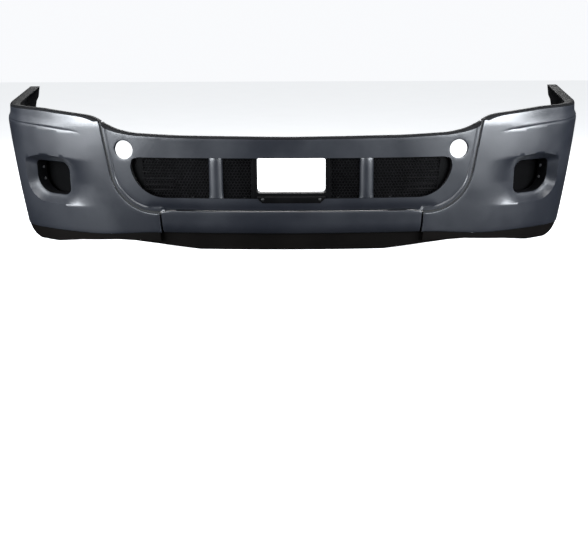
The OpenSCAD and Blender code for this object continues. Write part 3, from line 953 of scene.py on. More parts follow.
@dataclass(frozen=True)
class Finish:
    """One finish: its colours, gloss, relief, rubbed edges with painted highlights on the grille, and dust.

    Attributes:
        name: Name of the material.
        slot: The record's material slot.
        colour: Main colour.
        shade: Colour that the cloudy variation leans to.
        speckle: How strongly fine speckle darkens the colour, 0 to 1.
        roughness: Middle roughness.
        rough_change: How far the roughness varies.
        metallic: Metallic value.
        specular: Strength of the dielectric reflection.
        cloud: Scale of the cloudy variation.
        grain: Share and scale of the fine pits.
        wave: Share and scale of slow waves.
        relief: Height of the relief in metres.
        rub_and_highlight: Amount and width in metres of rubbed edges; on the grille they are painted
            highlights.
        rub_and_highlight_colour: Colour of rubbed edges; on the grille a painted highlight colour.
        dust: Amount of dust and the height it reaches.
        dust_colour: Colour of the dust.
    """

    name: str
    slot: str
    colour: Rgb
    shade: Rgb
    roughness: float
    speckle: float = 0.25
    rough_change: float = 0.12
    metallic: float = 0.0
    specular: float = 0.5
    cloud: float = 5.0
    grain: tuple[float, float] = (0.5, 700.0)
    wave: tuple[float, float] = (0.4, 9.0)
    relief: float = 0.0004
    rub_and_highlight: tuple[float, float] = (0.4, 0.0015)
    rub_and_highlight_colour: Rgb = (0.11, 0.12, 0.135)
    dust: tuple[float, float] = (0.25, 0.25)
    dust_colour: Rgb = (0.20, 0.18, 0.155)

    SPECKLE_SCALE = 420.0
    BREAKUP_SCALE = 45.0
    FLECK_SHADE = 0.55
    DUST_ROUGHNESS = 0.35

    def group(self, tree: Tree, group: bpy.types.NodeTree, **values: float) -> bpy.types.Node:
        """Places a node group with its own values; underscores stand for spaces.

        Args:
            tree: Tree that the node is added to.
            group: The node group.
            values: Values of its inputs.

        Returns:
            The group node.
        """
        node = tree.add("ShaderNodeGroup", node_tree=group)
        for key, value in values.items():
            node.inputs[key.replace("_", " ")].default_value = value
        return node

    def make(self) -> bpy.types.Material:
        """Builds the material, or returns it if it is already there.

        Returns:
            The material.
        """
        known = bpy.data.materials.get(self.name)
        if known:
            return known
        material = bpy.data.materials.new(self.name)
        material.use_nodes = True
        tree = Tree(material.node_tree)
        shader = tree.add("ShaderNodeBsdfPrincipled")
        output = tree.add("ShaderNodeOutputMaterial")
        tree.link(shader.outputs[0], output.inputs[0])
        shader.inputs["Metallic"].default_value = self.metallic
        shader.inputs["Specular IOR Level"].default_value = self.specular

        tone = self.group(tree, Effects.colour_variation(), Cloud_scale=self.cloud,
                          Speckle_scale=self.SPECKLE_SCALE)
        edges = self.group(tree, Effects.edge_rub_and_highlight(), Amount=self.rub_and_highlight[0], Width=self.rub_and_highlight[1],
                           Breakup_scale=self.BREAKUP_SCALE)
        dust = self.group(tree, Effects.road_dust(), Amount=self.dust[0], Height=self.dust[1])
        relief = self.group(tree, Effects.surface_relief(), Grain=self.grain[0], Grain_scale=self.grain[1],
                            Wave=self.wave[0], Wave_scale=self.wave[1])
        colour = tree.mix(tone.outputs["Cloud"], self.colour, self.shade)
        dark = tuple(c * self.FLECK_SHADE for c in self.colour)
        flecks = tree.math("MULTIPLY", tone.outputs["Speckle"], self.speckle)
        colour = tree.mix(flecks, colour, dark)
        # Rubbed edges lighten the colour; on the grille this paints highlights.
        colour = tree.mix(edges.outputs["Mask"], colour, self.rub_and_highlight_colour)
        colour = tree.mix(dust.outputs["Mask"], colour, self.dust_colour)
        tree.link(colour, shader.inputs["Base Color"])

        change = tree.math("MULTIPLY", tree.math("SUBTRACT", tone.outputs["Cloud"], 0.5), self.rough_change)
        rough = tree.math("ADD", change, self.roughness)
        dusty = tree.math("MULTIPLY", dust.outputs["Mask"], self.DUST_ROUGHNESS)
        rough = tree.math("ADD", rough, dusty, clamp=True)
        tree.link(rough, shader.inputs["Roughness"])
        bump = tree.add("ShaderNodeBump")
        bump.inputs["Strength"].default_value = 1.0
        bump.inputs["Distance"].default_value = self.relief
        tree.link(relief.outputs["Height"], bump.inputs["Height"])
        tree.link(bump.outputs["Normal"], shader.inputs["Normal"])
        return material


class Finishes(Enum):
    """Every finish of the bumper."""

    COVER = Finish(
        "moulded_grey_cover", "moulded_cover", (0.005, 0.0063, 0.0098), (0.007, 0.0085, 0.0125), 0.36,
        speckle=0.3, rough_change=0.08, specular=1.0, grain=(0.35, 900.0), wave=(0.5, 5.0),
        relief=0.00025, rub_and_highlight=(0.35, 0.0012), rub_and_highlight_colour=(0.035, 0.042, 0.054), dust=(0.012, 0.2))
    # Near-black finish of the covers' flanges, back faces and fog opening walls: painted shade.
    RAW = Finish(
        "painted_shade_cover_edge", "moulded_cover", (0.0018, 0.0018, 0.0022), (0.003, 0.003, 0.0035), 0.62,
        speckle=0.3, specular=0.1, rub_and_highlight=(0.1, 0.001), rub_and_highlight_colour=(0.03, 0.032, 0.036), dust=(0.006, 0.1))
    VALENCE = Finish(
        "brown_black_valence", "black_valence", (0.0012, 0.0009, 0.0007), (0.002, 0.0015, 0.0012), 0.66,
        grain=(0.8, 520.0), relief=0.0005, specular=0.06, rub_and_highlight=(0.12, 0.0012),
        rub_and_highlight_colour=(0.012, 0.01, 0.008), dust=(0.004, 0.1))
    # Its light edge colour paints highlights on the cell rims and ribs.
    GRILLE = Finish(
        "grille_black_plastic", "grille_black", (0.0009, 0.0009, 0.001), (0.0016, 0.0016, 0.0018), 0.45,
        specular=0.09, rub_and_highlight=(0.4, 0.0006), rub_and_highlight_colour=(0.014, 0.013, 0.0145), dust=(0.02, 0.1))
    # Black pocket plastic, darkened further with a weak reflection as painted shade of the deep recess.
    POCKET = Finish(
        "pocket_black_painted_shade", "pocket_black", (0.0006, 0.0006, 0.0007), (0.001, 0.001, 0.0011), 0.8,
        specular=0.04, rub_and_highlight=(0.1, 0.001), rub_and_highlight_colour=(0.004, 0.004, 0.004), dust=(0.01, 0.2))
    RUBBER = Finish(
        "seam_rubber", "seam_rubber", (0.0035, 0.0035, 0.0037), (0.007, 0.007, 0.007), 0.75, specular=0.2,
        grain=(0.9, 900.0), rub_and_highlight=(0.2, 0.0006), rub_and_highlight_colour=(0.03, 0.03, 0.03), dust=(0.15, 0.2))
    CLIP = Finish(
        "clip_plastic", "clip_plastic", (0.012, 0.012, 0.013), (0.02, 0.02, 0.021), 0.5,
        rub_and_highlight=(0.3, 0.0005), dust=(0.2, 0.2))
    STEEL = Finish(
        "coated_frame_steel", "frame_steel", (0.012, 0.013, 0.015), (0.021, 0.021, 0.022), 0.42,
        cloud=9.0, rough_change=0.25, grain=(0.6, 380.0), relief=0.0005, rub_and_highlight=(0.8, 0.0022),
        rub_and_highlight_colour=(0.16, 0.10, 0.065), dust=(0.45, 0.5), dust_colour=(0.16, 0.13, 0.10))
    BLACK_SCREW = Finish(
        "black_coated_screw", "black_fastener", (0.014, 0.014, 0.015), (0.022, 0.022, 0.023), 0.38,
        metallic=0.6, cloud=80.0, rough_change=0.2, rub_and_highlight=(0.7, 0.0005),
        rub_and_highlight_colour=(0.09, 0.088, 0.085), dust=(0.2, 0.3))
    ZINC = Finish(
        "zinc_fastener", "zinc_fastener", (0.45, 0.45, 0.44), (0.58, 0.55, 0.47), 0.32,
        metallic=1.0, cloud=60.0, rough_change=0.3, rub_and_highlight=(0.4, 0.0006),
        rub_and_highlight_colour=(0.75, 0.74, 0.72), dust=(0.3, 0.3))

    @property
    def material(self) -> bpy.types.Material:
        """The finish as a material."""
        return self.value.make()


def finish_piece(obj: bpy.types.Object, *finishes: Finishes) -> bpy.types.Object:
    """Gives a new piece its materials and its body.

    Args:
        obj: The mesh object.
        finishes: Finish of the front, then of the back and the walls.

    Returns:
        The same object.
    """
    slots = obj.data.materials
    for index, item in enumerate([*finishes, finishes[-1]][:max(len(slots), len(finishes))]):
        if index < len(slots):
            slots[index] = item.material
        else:
            slots.append(item.material)
    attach(obj, "root")
    LOG.info("%s: %d faces, %s", obj.name, len(obj.data.polygons), finishes[0].value.name)
    return obj


# ---------------------------------------------------------------- the covers

@dataclass
class Seam:
    """The S-shaped joint between the centre cover and an end cover, right side."""

    head: tuple[float, float] = (762.0, 566.0)
    knee: tuple[float, float] = (690.0, 158.0)
    knee_radius: float = 185.0
    foot_x: float = 523.0
    gap: float = 7.0

    def curve(self, m: float, foot: Sequence[tuple[float, float, float]] = ()) -> Array:
        """The seam grown outward by m, from above the top edge down to its foot, on the face.

        Args:
            m: How far it is moved outward.
            foot: Corners added at the foot.

        Returns:
            The line on the face.
        """
        corners = [
            (self.head[0] + m, self.head[1] + 200.0, 0.0),
            (self.head[0] + m, self.head[1], 0.0),
            (self.knee[0] + m, self.knee[1] - m, self.knee_radius + m),
            (self.foot_x, self.knee[1] - m, 0.0),
            *foot,
        ]
        line = rounded([*corners, (0.0, corners[-1][1], 0.0)], 5.0)[:-1]
        return on_face(refine(line, 8.0, closed=False))


def cut_at_top(line: Array) -> Array:
    """Starts a line that comes down from above at the top edge.

    Args:
        line: Line of points.

    Returns:
        The shorter line.
    """
    over = line[:, 1] - FACE.top(line[:, 0])
    first = int(np.argmax(over < 0.0))
    a, b = line[first - 1], line[first]
    t = over[first - 1] / (over[first - 1] - over[first])
    start = a + (b - a) * t
    rest = line[first:]
    if np.linalg.norm(rest[0] - start) < 2.5:
        rest = rest[1:]
    return np.vstack([start, rest])


def top_line(s0: float, s1: float, step: float = 8.0) -> Array:
    """The top edge from s0 to s1 as a line on the face.

    Args:
        s0: Where it starts.
        s1: Where it ends.
        step: Greatest gap between points.

    Returns:
        The line.
    """
    count = max(2, int(abs(s1 - s0) / step))
    s = np.linspace(s0, s1, count + 1)
    return np.stack([s, FACE.top(s)], axis=1)


def offset_line(line: Array, d: float) -> Array:
    """A line moved sideways by d to its left.

    Args:
        line: Line of points.
        d: Distance to the left.

    Returns:
        The moved line.
    """
    ahead = np.gradient(line, axis=0)
    ahead /= np.linalg.norm(ahead, axis=1)[:, None]
    return line + np.stack([-ahead[:, 1], ahead[:, 0]], axis=1) * d


def within(line: Array, loops: Sequence[Array], margin: float = 5.5) -> list[Array]:
    """The stretches of a line that stay inside the first loop and clear of every loop.

    Args:
        line: Line of points.
        loops: The outer edge, then the holes.
        margin: Least room to every loop.

    Returns:
        The stretches.
    """
    good = inside(line, loops[0])
    for hole in loops[1:]:
        good &= ~inside(line, hole)
    for loop in loops:
        good &= distance(line, loop, closed=True) > margin
    runs: list[Array] = []
    start = None
    for i, ok in enumerate([*good, False]):
        if ok and start is None:
            start = i
        elif not ok and start is not None:
            if i - start > 2:
                runs.append(line[start:i])
            start = None
    return runs


SEAM = Seam()


@dataclass
class CentreCover:
    """The large centre cover with the grille opening, its posts and the tow holes."""

    lip_low: float = 164.5
    grille_half: float = 646.0
    grille_low: float = 204.0
    grille_high: float = 386.0
    grille_top_radius: float = 45.0
    tow_x: float = 660.0
    tow_z: float = 409.0
    tow_r: float = 37.5
    post_x: float = 299.0
    post_w: float = 55.0
    post_set: float = 7.0
    post_back: float = 34.0
    bead: float = 3.2
    bead_w: float = 17.0
    groove_at: float = 19.5
    lip_turn: float = 11.0
    lip_run: float = 42.0
    edge_radius: float = 4.0
    edge_back: float = 14.0
    opening_back: float = 44.0
    flange: float = 26.0
    seam_creases: tuple[float, ...] = (6.0, 10.0, 14.0, 15.6, 17.2, 19.5, 22.0, 26.0)
    lip_creases: tuple[float, ...] = (172.0, 180.0, 189.0)

    @property
    def knee_radius(self) -> float:
        """Radius of the opening's lower corners, as round as its sides allow."""
        return (self.grille_high - self.grille_low - self.grille_top_radius * 1.15 - 3.0) * 1.14

    def grille_outline(self, m: float) -> Array:
        """Grille opening in front view, grown by m.

        Args:
            m: How far it is moved outward.

        Returns:
            The outline.
        """
        return rounded(both_sides([
            (self.grille_half + m, self.grille_high + m, self.grille_top_radius + m),
            (self.grille_half - 24.0 + m, self.grille_low - m, self.knee_radius + m),
        ]), 7.0)

    def seam_side(self) -> Array:
        """Edge along the right seam, from the top edge down to the lip."""
        return cut_at_top(SEAM.curve(0.0, [(SEAM.foot_x - 43.0, self.lip_low, 0.0)]))

    def outer_loop(self) -> Array:
        """Outer edge on the face, anticlockwise.

        Returns:
            The edge.
        """
        right = self.seam_side()
        left = right * np.array([-1.0, 1.0])
        lip = np.linspace(left[-1], right[-1], 130)[1:-1]
        top = top_line(float(right[0][0]), float(left[0][0]))[1:-1]
        return tidy(np.vstack([left, lip, right[::-1], top]))

    def edge_rim(self) -> Rim:
        """The outer edge; its top turns back as a wide flange.

        Returns:
            The edge as a rim.
        """
        outer = self.outer_loop()
        seam_top = abs(self.seam_side()[0][0])
        on_top = outer[:, 1] > FACE.top(outer[:, 0]) - 1.0
        shoulder = np.exp(-((np.abs(outer[:, 0]) - 760.0) / 70.0) ** 2)
        near_seam = smooth((seam_top - np.abs(outer[:, 0])) / 22.0)
        radius = self.edge_radius + np.where(on_top, (6.0 + 5.0 * shoulder) * near_seam, 0.0)
        # Slot 1 on the top flange is the near-black painted shade finish.
        return Rim(outer, radius, np.where(on_top, self.flange, self.edge_back), np.where(on_top, 1, 0))

    def opening_rims(self) -> list[Rim]:
        """The edges of the grille opening and of the two tow holes.

        Returns:
            The edges as rims.
        """
        grille = on_face(refine(self.grille_outline(2.0), 9.0), 10.0)[::-1]
        places = np.array([[self.tow_x, self.tow_z], [-self.tow_x, self.tow_z]])
        tows = on_face(places)
        room = np.minimum(*[np.linalg.norm(grille - t, axis=1) for t in tows]) - self.tow_r - 3.0
        wanted = np.interp(grille[:, 1], [204.0, 290.0, 350.0, 386.0], [15.0, 12.0, 8.0, 8.0])
        rims = [Rim(grille, np.minimum(wanted, np.maximum(2.5, room * 0.7)), self.opening_back)]
        angle = np.linspace(0.0, 2.0 * math.pi, 49)[:-1]
        for s, z in tows:
            x = FACE.point(np.array([s]), np.array([z]), np.array([0.0]))[0][0] + 2.0 * np.sign(s)
            ring = np.stack([x + self.tow_r * np.cos(angle), z + self.tow_r * np.sin(angle)], axis=1)
            rims.append(Rim(on_face(ring)[::-1], 2.5, 11.0))
        return rims

    def skin(self) -> bpy.types.Object:
        """Builds the skin with all its edges rounded over.

        Returns:
            The new piece.
        """
        rims = [self.edge_rim(), *self.opening_rims()]
        loops = [r.loop for r in rims]
        seam = cut_at_top(SEAM.curve(0.0))
        seams = (seam, seam * np.array([-1.0, 1.0]))
        lip_end = FACE.middle_run + 60.0
        lip_line = np.array([[-lip_end, self.lip_low], [lip_end, self.lip_low]])

        def depth(s: Array, z: Array) -> Array:
            """Bead and groove along the seams, and the lip that turns under at the bottom.

            Args:
                s: Distances along the face.
                z: Heights.

            Returns:
                The depths.
            """
            flat = np.stack([s, z], axis=1)
            t = np.minimum(distance(flat, seams[0]), distance(flat, seams[1]))
            raised = smooth((t - 1.0) / 3.0) * smooth((self.bead_w - t) / 3.0)
            groove = np.exp(-((t - self.groove_at) / 2.4) ** 2)
            turn = np.clip(1.0 - distance(flat, lip_line) / self.lip_run, 0.0, 1.0) ** 2
            return -self.bead * raised + 0.8 * groove + self.lip_turn * turn * (1.0 - raised)

        creases: list[Array] = []
        for line, way in zip(seams, (-1.0, 1.0)):
            for d in self.seam_creases:
                creases += within(offset_line(line, way * d), loops)
        low = np.linspace(-FACE.middle_run, FACE.middle_run, 120)
        for z in self.lip_creases:
            creases += within(np.stack([low, np.full_like(low, z)], axis=1), loops)
        return Sheet(rims, depth, creases=creases).build("centre_cover_skin")

    def post(self, side: Side) -> bpy.types.Object:
        """Builds one round-fronted post across the grille opening, flared at both ends.

        Args:
            side: Which end.

        Returns:
            The new piece.
        """
        z0, z1 = self.grille_low - 5.0, self.grille_high + 5.0
        angles = np.radians(np.linspace(180.0, 0.0, 17))
        rings = []
        for z in np.linspace(z0, z1, 34):
            flare = 1.0 + (0.45 if z < (z0 + z1) / 2.0 else 0.12) * math.exp(-min(z - z0, z1 - z) / 11.0)
            half = self.post_w / 2.0 * flare
            top_in = 9.0 * math.exp(-(z1 - z) / 9.0)
            front = self.post_set + top_in
            across = [(half * math.cos(a), front + (22.0 - top_in) * (1.0 - math.sin(a))) for a in angles]
            across += [(half, self.post_back), (half - 4.0, self.post_back + 2.0)]
            across += [(-half + 4.0, self.post_back + 2.0), (-half, self.post_back)]
            x, d = np.array(across).T
            rings.append(FACE.point(FACE.run_of(self.post_x, z) + x, np.full_like(x, z), d))
        draft = Draft()
        draft.tube(rings)
        return draft.make(f"grille_post_{side.word}", mirror=side is Side.LEFT)

    def build(self) -> None:
        """Builds and dresses the centre cover."""
        # Back faces and the top flange take the near-black painted shade finish.
        skin = finish_piece(self.skin(), Finishes.COVER, Finishes.RAW)
        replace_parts(skin, "centre_cover")
        for side in Side:
            finish_piece(self.post(side), Finishes.COVER)


@dataclass
class EndCover:
    """One end cover: flank, corner and wing, with the scooped fog lamp recess."""

    side: Side
    bottom: float = 52.0
    inner_x: float = 526.5
    fog_inner: float = 911.0
    fog_outer: float = 1072.0
    fog_low: float = 202.0
    fog_high: float = 340.0
    fog_radii: tuple[float, float, float, float] = (30.0, 75.0, 20.0, 40.0)
    scoop: float = 35.0
    scoop_start: float = 785.0
    scoop_full: float = 1000.0
    crease_start: float = 850.0
    crease_step: float = 8.0
    crease_groove: float = 2.6
    edge_radius: float = 4.5
    edge_back: float = 14.0
    flange: float = 26.0
    crease_offsets: tuple[float, ...] = (-4.0, -1.8, 0.0, 1.8, 4.0, 12.0)

    def fog_outline(self, m: float = 0.0) -> Array:
        """Fog lamp opening in front view, grown by m.

        Args:
            m: How far it is moved outward.

        Returns:
            The outline.
        """
        a, b, c, d = self.fog_radii
        return rounded([
            (self.fog_inner - m, self.fog_low - m, a + m),
            (self.fog_outer + m, self.fog_low - m, b + m),
            (self.fog_outer + m, self.fog_high + m, c + m),
            (self.fog_inner - m, self.fog_high + m, d + m),
        ], 5.0)

    def recess_edge(self) -> Array:
        """Crisp edge of the scoop, from its upper inner tip round the outside to its lower tip.

        Returns:
            The line on the face.
        """
        corners = [
            (760.0, 353.0, 0.0),
            (870.0, 357.0, 300.0),
            (1030.0, 373.0, 90.0),
            (1121.0, 349.0, 20.0),
            (1103.0, 167.0, 100.0),
            (850.0, 164.0, 60.0),
            (720.0, 180.0, 0.0),
        ]
        return on_face(refine(rounded(corners, 6.0), 8.0, closed=False))

    def crease_line(self) -> Array:
        """The crease that runs out from the tow hole and along the wing below the top edge.

        Returns:
            The line on the face.
        """
        s = np.arange(872.0, FACE.end, 9.0)
        z = np.interp(s, [858.0, 910.0, 1062.0, 1254.0, 1440.0, FACE.end],
                      [469.0, 476.0, 490.0, 502.0, 514.0, 553.0])
        return np.stack([s, z], axis=1)

    def outer_loop(self) -> Array:
        """Outer edge on the face, anticlockwise.

        Returns:
            The edge.
        """
        seam = cut_at_top(SEAM.curve(SEAM.gap))
        corner = on_face(np.array([[self.inner_x, SEAM.knee[1] - SEAM.gap]]))[0]
        seam = seam[seam[:, 0] > corner[0] + 3.0]
        foot = on_face(np.array([[self.inner_x - 5.0, self.bottom + 20.0]]))[0]
        slant = math.tan(math.radians(FACE.wing_slant))
        rear_low = FACE.end - (FACE.wing_top - self.bottom) * slant
        under = np.array([[s, self.bottom + 20.0 * (1.0 - smooth((s - foot[0]) / 330.0))]
                          for s in np.linspace(foot[0], rear_low, 110)])
        rear = np.linspace([rear_low, self.bottom], [FACE.end, FACE.wing_top], 70)
        top = top_line(FACE.end, float(seam[0][0]))
        side = refine(np.vstack([corner, foot]), 8.0, closed=False)
        return tidy(np.vstack([seam, side, under, rear[1:], top[1:-1]]), 1.5)

    def edge_rim(self) -> Rim:
        """The outer edge; its top and the wing's rear edge turn back as flanges.

        Returns:
            The edge as a rim.
        """
        outer = self.outer_loop()
        on_top = outer[:, 1] > FACE.top(outer[:, 0]) - 1.0
        on_wing = smooth((outer[:, 0] - FACE.corner_start) / 250.0)
        at_rear = ~on_top & (outer[:, 0] > FACE.corner_end + 20.0) & (outer[:, 1] > self.bottom + 2.0)
        shoulder = np.exp(-((outer[:, 0] - 790.0) / 60.0) ** 2)
        near_seam = smooth((outer[:, 0] - outer[on_top, 0].min()) / 22.0)
        radius = self.edge_radius + np.where(on_top, (5.5 + 5.0 * shoulder) * near_seam, 0.0)
        wing_back = FACE.wing_flange - 1.5
        back = np.where(on_top, self.flange + (wing_back - self.flange) * on_wing, self.edge_back)
        # Slot 1 on the top and rear flanges is the near-black painted shade finish.
        return Rim(outer, radius, np.where(at_rear, wing_back, back), np.where(on_top | at_rear, 1, 0))

    def skin(self) -> bpy.types.Object:
        """Builds the skin with its scoop, crease and edges.

        Returns:
            The new piece.
        """
        fog = on_face(refine(self.fog_outline(), 6.0), self.scoop)[::-1]
        # The fog opening wall, past 54 degrees of its rounded edge, takes slot 1: painted shade.
        rims = [self.edge_rim(), Rim(fog, 3.0, self.scoop + 14.0, slot=1, slot_from=54.0)]
        edge = self.recess_edge()
        crease = self.crease_line()

        def depth(s: Array, z: Array) -> Array:
            """Scoop round the fog lamp opening and the step above the crease.

            Args:
                s: Distances along the face.
                z: Heights.

            Returns:
                The depths.
            """
            flat = np.stack([s, z], axis=1)
            to_edge = distance(flat, edge)
            to_hole = np.where(inside(flat, fog), 0.0, distance(flat, fog, closed=True))
            share = to_edge / np.maximum(to_edge + to_hole, 1e-6)
            full = self.scoop * smooth((s - self.scoop_start) / (self.scoop_full - self.scoop_start))
            slope = 0.55 * share + 0.45 * np.sin(share * math.pi / 2.0)
            scooped = np.where(inside(flat, edge), full * slope, 0.0)
            above = z - np.interp(s, crease[:, 0], crease[:, 1])
            step = self.crease_step * smooth((s - self.crease_start) / 400.0) * smooth(above / 26.0)
            cut = np.exp(-(above / 2.0) ** 2) * smooth((s - self.crease_start) / 120.0)
            return scooped + step + self.crease_groove * cut

        loops = [r.loop for r in rims]
        creases = within(edge, loops) + within(offset_line(edge, -3.0), loops)
        for d in self.crease_offsets:
            creases += within(crease + np.array([0.0, d]), loops, 12.0)
        for d in (8.0, 16.0):
            ring = on_face(refine(self.fog_outline(d), 7.0), self.scoop)
            creases.append(np.vstack([ring, ring[:1]]))
        sheet = Sheet(rims, depth, creases=creases)
        return sheet.build(f"{self.side.word}_end_cover_skin", mirror=self.side is Side.LEFT)

    def build(self) -> None:
        """Builds and dresses the end cover."""
        # Back faces, flanges and the fog opening wall take the near-black painted shade finish.
        skin = finish_piece(self.skin(), Finishes.COVER, Finishes.RAW)
        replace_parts(skin, f"{self.side.word}_end_cover")


@dataclass
class SeamStrip:
    """Black rubber strip that closes the joint between the centre cover and an end cover."""

    side: Side
    overlap: float = 9.0
    base: float = 5.0
    top_drop: float = 1.0

    def build(self) -> None:
        """Builds and dresses the strip."""
        inner = cut_at_top(SEAM.curve(-self.overlap))
        outer = cut_at_top(SEAM.curve(SEAM.gap + self.overlap))
        for line in (inner, outer):
            line[0, 1] -= self.top_drop
        rim = Rim(tidy(np.vstack([inner, outer[::-1]]), 1.0), 1.0, 2.0)
        sheet = Sheet([rim], base=self.base, step=7.0)
        piece = sheet.build(f"{self.side.word}_seam_strip_skin", thickness=2.0, mirror=self.side is Side.LEFT)
        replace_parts(finish_piece(piece, Finishes.RUBBER), f"{self.side.word}_seam_strip")


@dataclass
class LowerPanel:
    """The body-coloured panel below the centre cover."""

    top: float = 162.7
    end_drop: float = 6.5
    bend_x: float = 480.0
    bottom: float = 72.0
    half_top: float = 519.5
    half_bottom: float = 513.0
    curl: float = 9.0
    curl_from: float = 112.0

    def build(self) -> None:
        """Builds and dresses the panel; its upper edge is the sharper one."""
        corners = on_face(np.array([
            [-self.half_bottom, self.bottom], [self.half_bottom, self.bottom],
            [self.half_top, self.top - self.end_drop], [self.bend_x, self.top],
            [-self.bend_x, self.top], [-self.half_top, self.top - self.end_drop],
        ]))
        outer = refine(corners, 9.0)
        on_top = outer[:, 1] > self.top - self.end_drop - 1.0

        def depth(s: Array, z: Array) -> Array:
            """The lower half curves under."""
            return self.curl * np.clip((self.curl_from - z) / (self.curl_from - self.bottom), 0.0, 1.0) ** 2

        rim = Rim(outer, np.where(on_top, 2.4, 4.0), np.where(on_top, 16.0, 20.0))
        skin = finish_piece(Sheet([rim], depth, step=12.0).build("lower_centre_panel_skin"), Finishes.COVER)
        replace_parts(skin, "lower_centre_panel")


@dataclass
class GrilleInsert:
    """One black honeycomb insert behind the grille opening, with its plain border and ribs."""

    side: Side
    cover: CentreCover
    inner_x: float = 152.5
    mesh_end: float = 592.0
    mesh_low: float = 210.0
    mesh_high: float = 371.0
    pitch: float = 13.2
    wall_share: float = 0.80
    border_depth: float = 27.0
    mesh_depth: float = 30.0
    pocket: float = 4.5
    back: float = 8.0
    rib_heights: tuple[float, ...] = (318.0, 292.0, 266.0, 246.0)
    rib_inner: float = 430.0
    rib_half: float = 2.3
    middle_z: float = 290.0
    taper: float = 0.93

    def border(self) -> bpy.types.Object:
        """Plain border that fills the opening round the mesh.

        Returns:
            The new piece.
        """
        outline = self.cover.grille_outline(-0.6)
        right = outline[outline[:, 0] > self.inner_x]
        first = int(np.argmax(np.abs(np.roll(right, 1, axis=0) - right).sum(axis=1) > 300.0))
        right = np.roll(right, -first, axis=0)
        start = np.array([self.inner_x, right[0][1]])
        end = np.array([self.inner_x, right[-1][1]])
        loop = turned(np.vstack([start, right, end]))
        hole = turned(rounded([
            (self.inner_x + 6.0, self.mesh_low, 4.0), (self.mesh_end - 8.0, self.mesh_low, 14.0),
            (self.mesh_end + 4.0, self.mesh_high, 14.0), (self.inner_x + 6.0, self.mesh_high, 4.0),
        ], 4.0), hole=True)
        rims = [Rim(on_face(refine(loop, 9.0)), 1.2, 6.0), Rim(on_face(refine(hole, 9.0)), 2.0, 3.0)]
        sheet = Sheet(rims, base=self.border_depth, step=14.0)
        return sheet.build(f"{self.side.word}_grille_border", thickness=2.0, mirror=self.side is Side.LEFT)

    def honeycomb(self) -> bpy.types.Object:
        """Honeycomb of closed hexagonal pockets.

        Returns:
            The new piece.
        """
        draft = Draft()
        across, up = self.pitch, self.pitch * math.sqrt(3.0) / 2.0
        angles = np.radians(np.arange(30.0, 390.0, 60.0))
        corner = np.stack([np.cos(angles), np.sin(angles)], axis=1) * self.pitch / math.sqrt(3.0)
        s_low = FACE.run_of(self.inner_x + 2.0, self.middle_z)
        s_high = FACE.run_of(self.mesh_end + 4.0, self.middle_z)
        depth = np.repeat(self.mesh_depth + np.array([0.0, 0.0, self.pocket, self.back]), 6)
        # Cell rims are fully marked and cell tops a third, so the edge colour paints highlights on them.
        rub_and_highlight = np.repeat([0.35, 1.0, 0.0, 0.0], 6)
        edges: dict[tuple[int, ...], list[tuple[Array, Array]]] = {}
        for r, z in enumerate(np.arange(self.mesh_low - 1.0, self.mesh_high + 8.0, up)):
            for s in np.arange(s_low + (r % 2) * across / 2.0, s_high, across):
                outer = np.array([s, z]) + corner
                rim = np.array([s, z]) + corner * self.wall_share
                floor = np.array([s, z]) + corner * self.wall_share * self.taper
                flat = np.vstack([outer, rim, floor, outer])
                first = draft.add(FACE.point(flat[:, 0], flat[:, 1], depth), rub_and_highlight)
                draft.band(first + 6, first, 6)
                draft.band(first + 12, first + 6, 6)
                draft.cap(first + 12, 6)
                draft.cap(first + 18, 6, flip=True)
                for a, b in zip(outer, np.roll(outer, -1, axis=0)):
                    key = np.round(np.concatenate([np.minimum(a, b), np.maximum(a, b)])).astype(int)
                    edges.setdefault(tuple(key), []).append((a, b))
        for a, b in (pairs[0] for pairs in edges.values() if len(pairs) == 1):
            s, z = np.array([a, b, b, a]).T
            wall = self.mesh_depth + self.back * np.array([0.0, 0.0, 1.0, 1.0])
            draft.cap(draft.add(FACE.point(s, z, wall)), 4, flip=True)
        return draft.make(f"{self.side.word}_grille_honeycomb", merge=0.05, sharp=35.0,
                          mirror=self.side is Side.LEFT)

    def rib(self, z: float, number: int) -> bpy.types.Object:
        """One thin level rib across the outer end of the mesh, with a rounded front.

        Args:
            z: Height of the rib.
            number: Number of the rib from the top.

        Returns:
            The new piece.
        """
        s0 = FACE.run_of(self.rib_inner + number * 6.0, z)
        s1 = FACE.run_of(self.mesh_end + 6.0, z)
        angles = np.radians(np.linspace(90.0, 450.0, 13))[:-1]
        rings = []
        for s in np.linspace(s1, s0, 26):
            height = self.rib_half * min(1.0, 0.35 + (s - s0) / 60.0)
            depth = self.mesh_depth - 0.5 - 3.0 * np.sin(angles)
            rings.append(FACE.point(np.full(12, s), z + height * np.cos(angles), depth))
        draft = Draft()
        # The whole rib is half marked, so the edge colour paints it as a light highlight line.
        draft.tube(rings, 0.5)
        return draft.make(f"{self.side.word}_grille_rib_{number}", mirror=self.side is Side.LEFT)

    def build(self) -> None:
        """Builds and dresses the insert."""
        mesh = finish_piece(self.honeycomb(), Finishes.GRILLE)
        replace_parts(mesh, f"{self.side.word}_grille_mesh")
        finish_piece(self.border(), Finishes.GRILLE)
        for number, z in enumerate(self.rib_heights, 1):
            finish_piece(self.rib(z, number), Finishes.GRILLE)


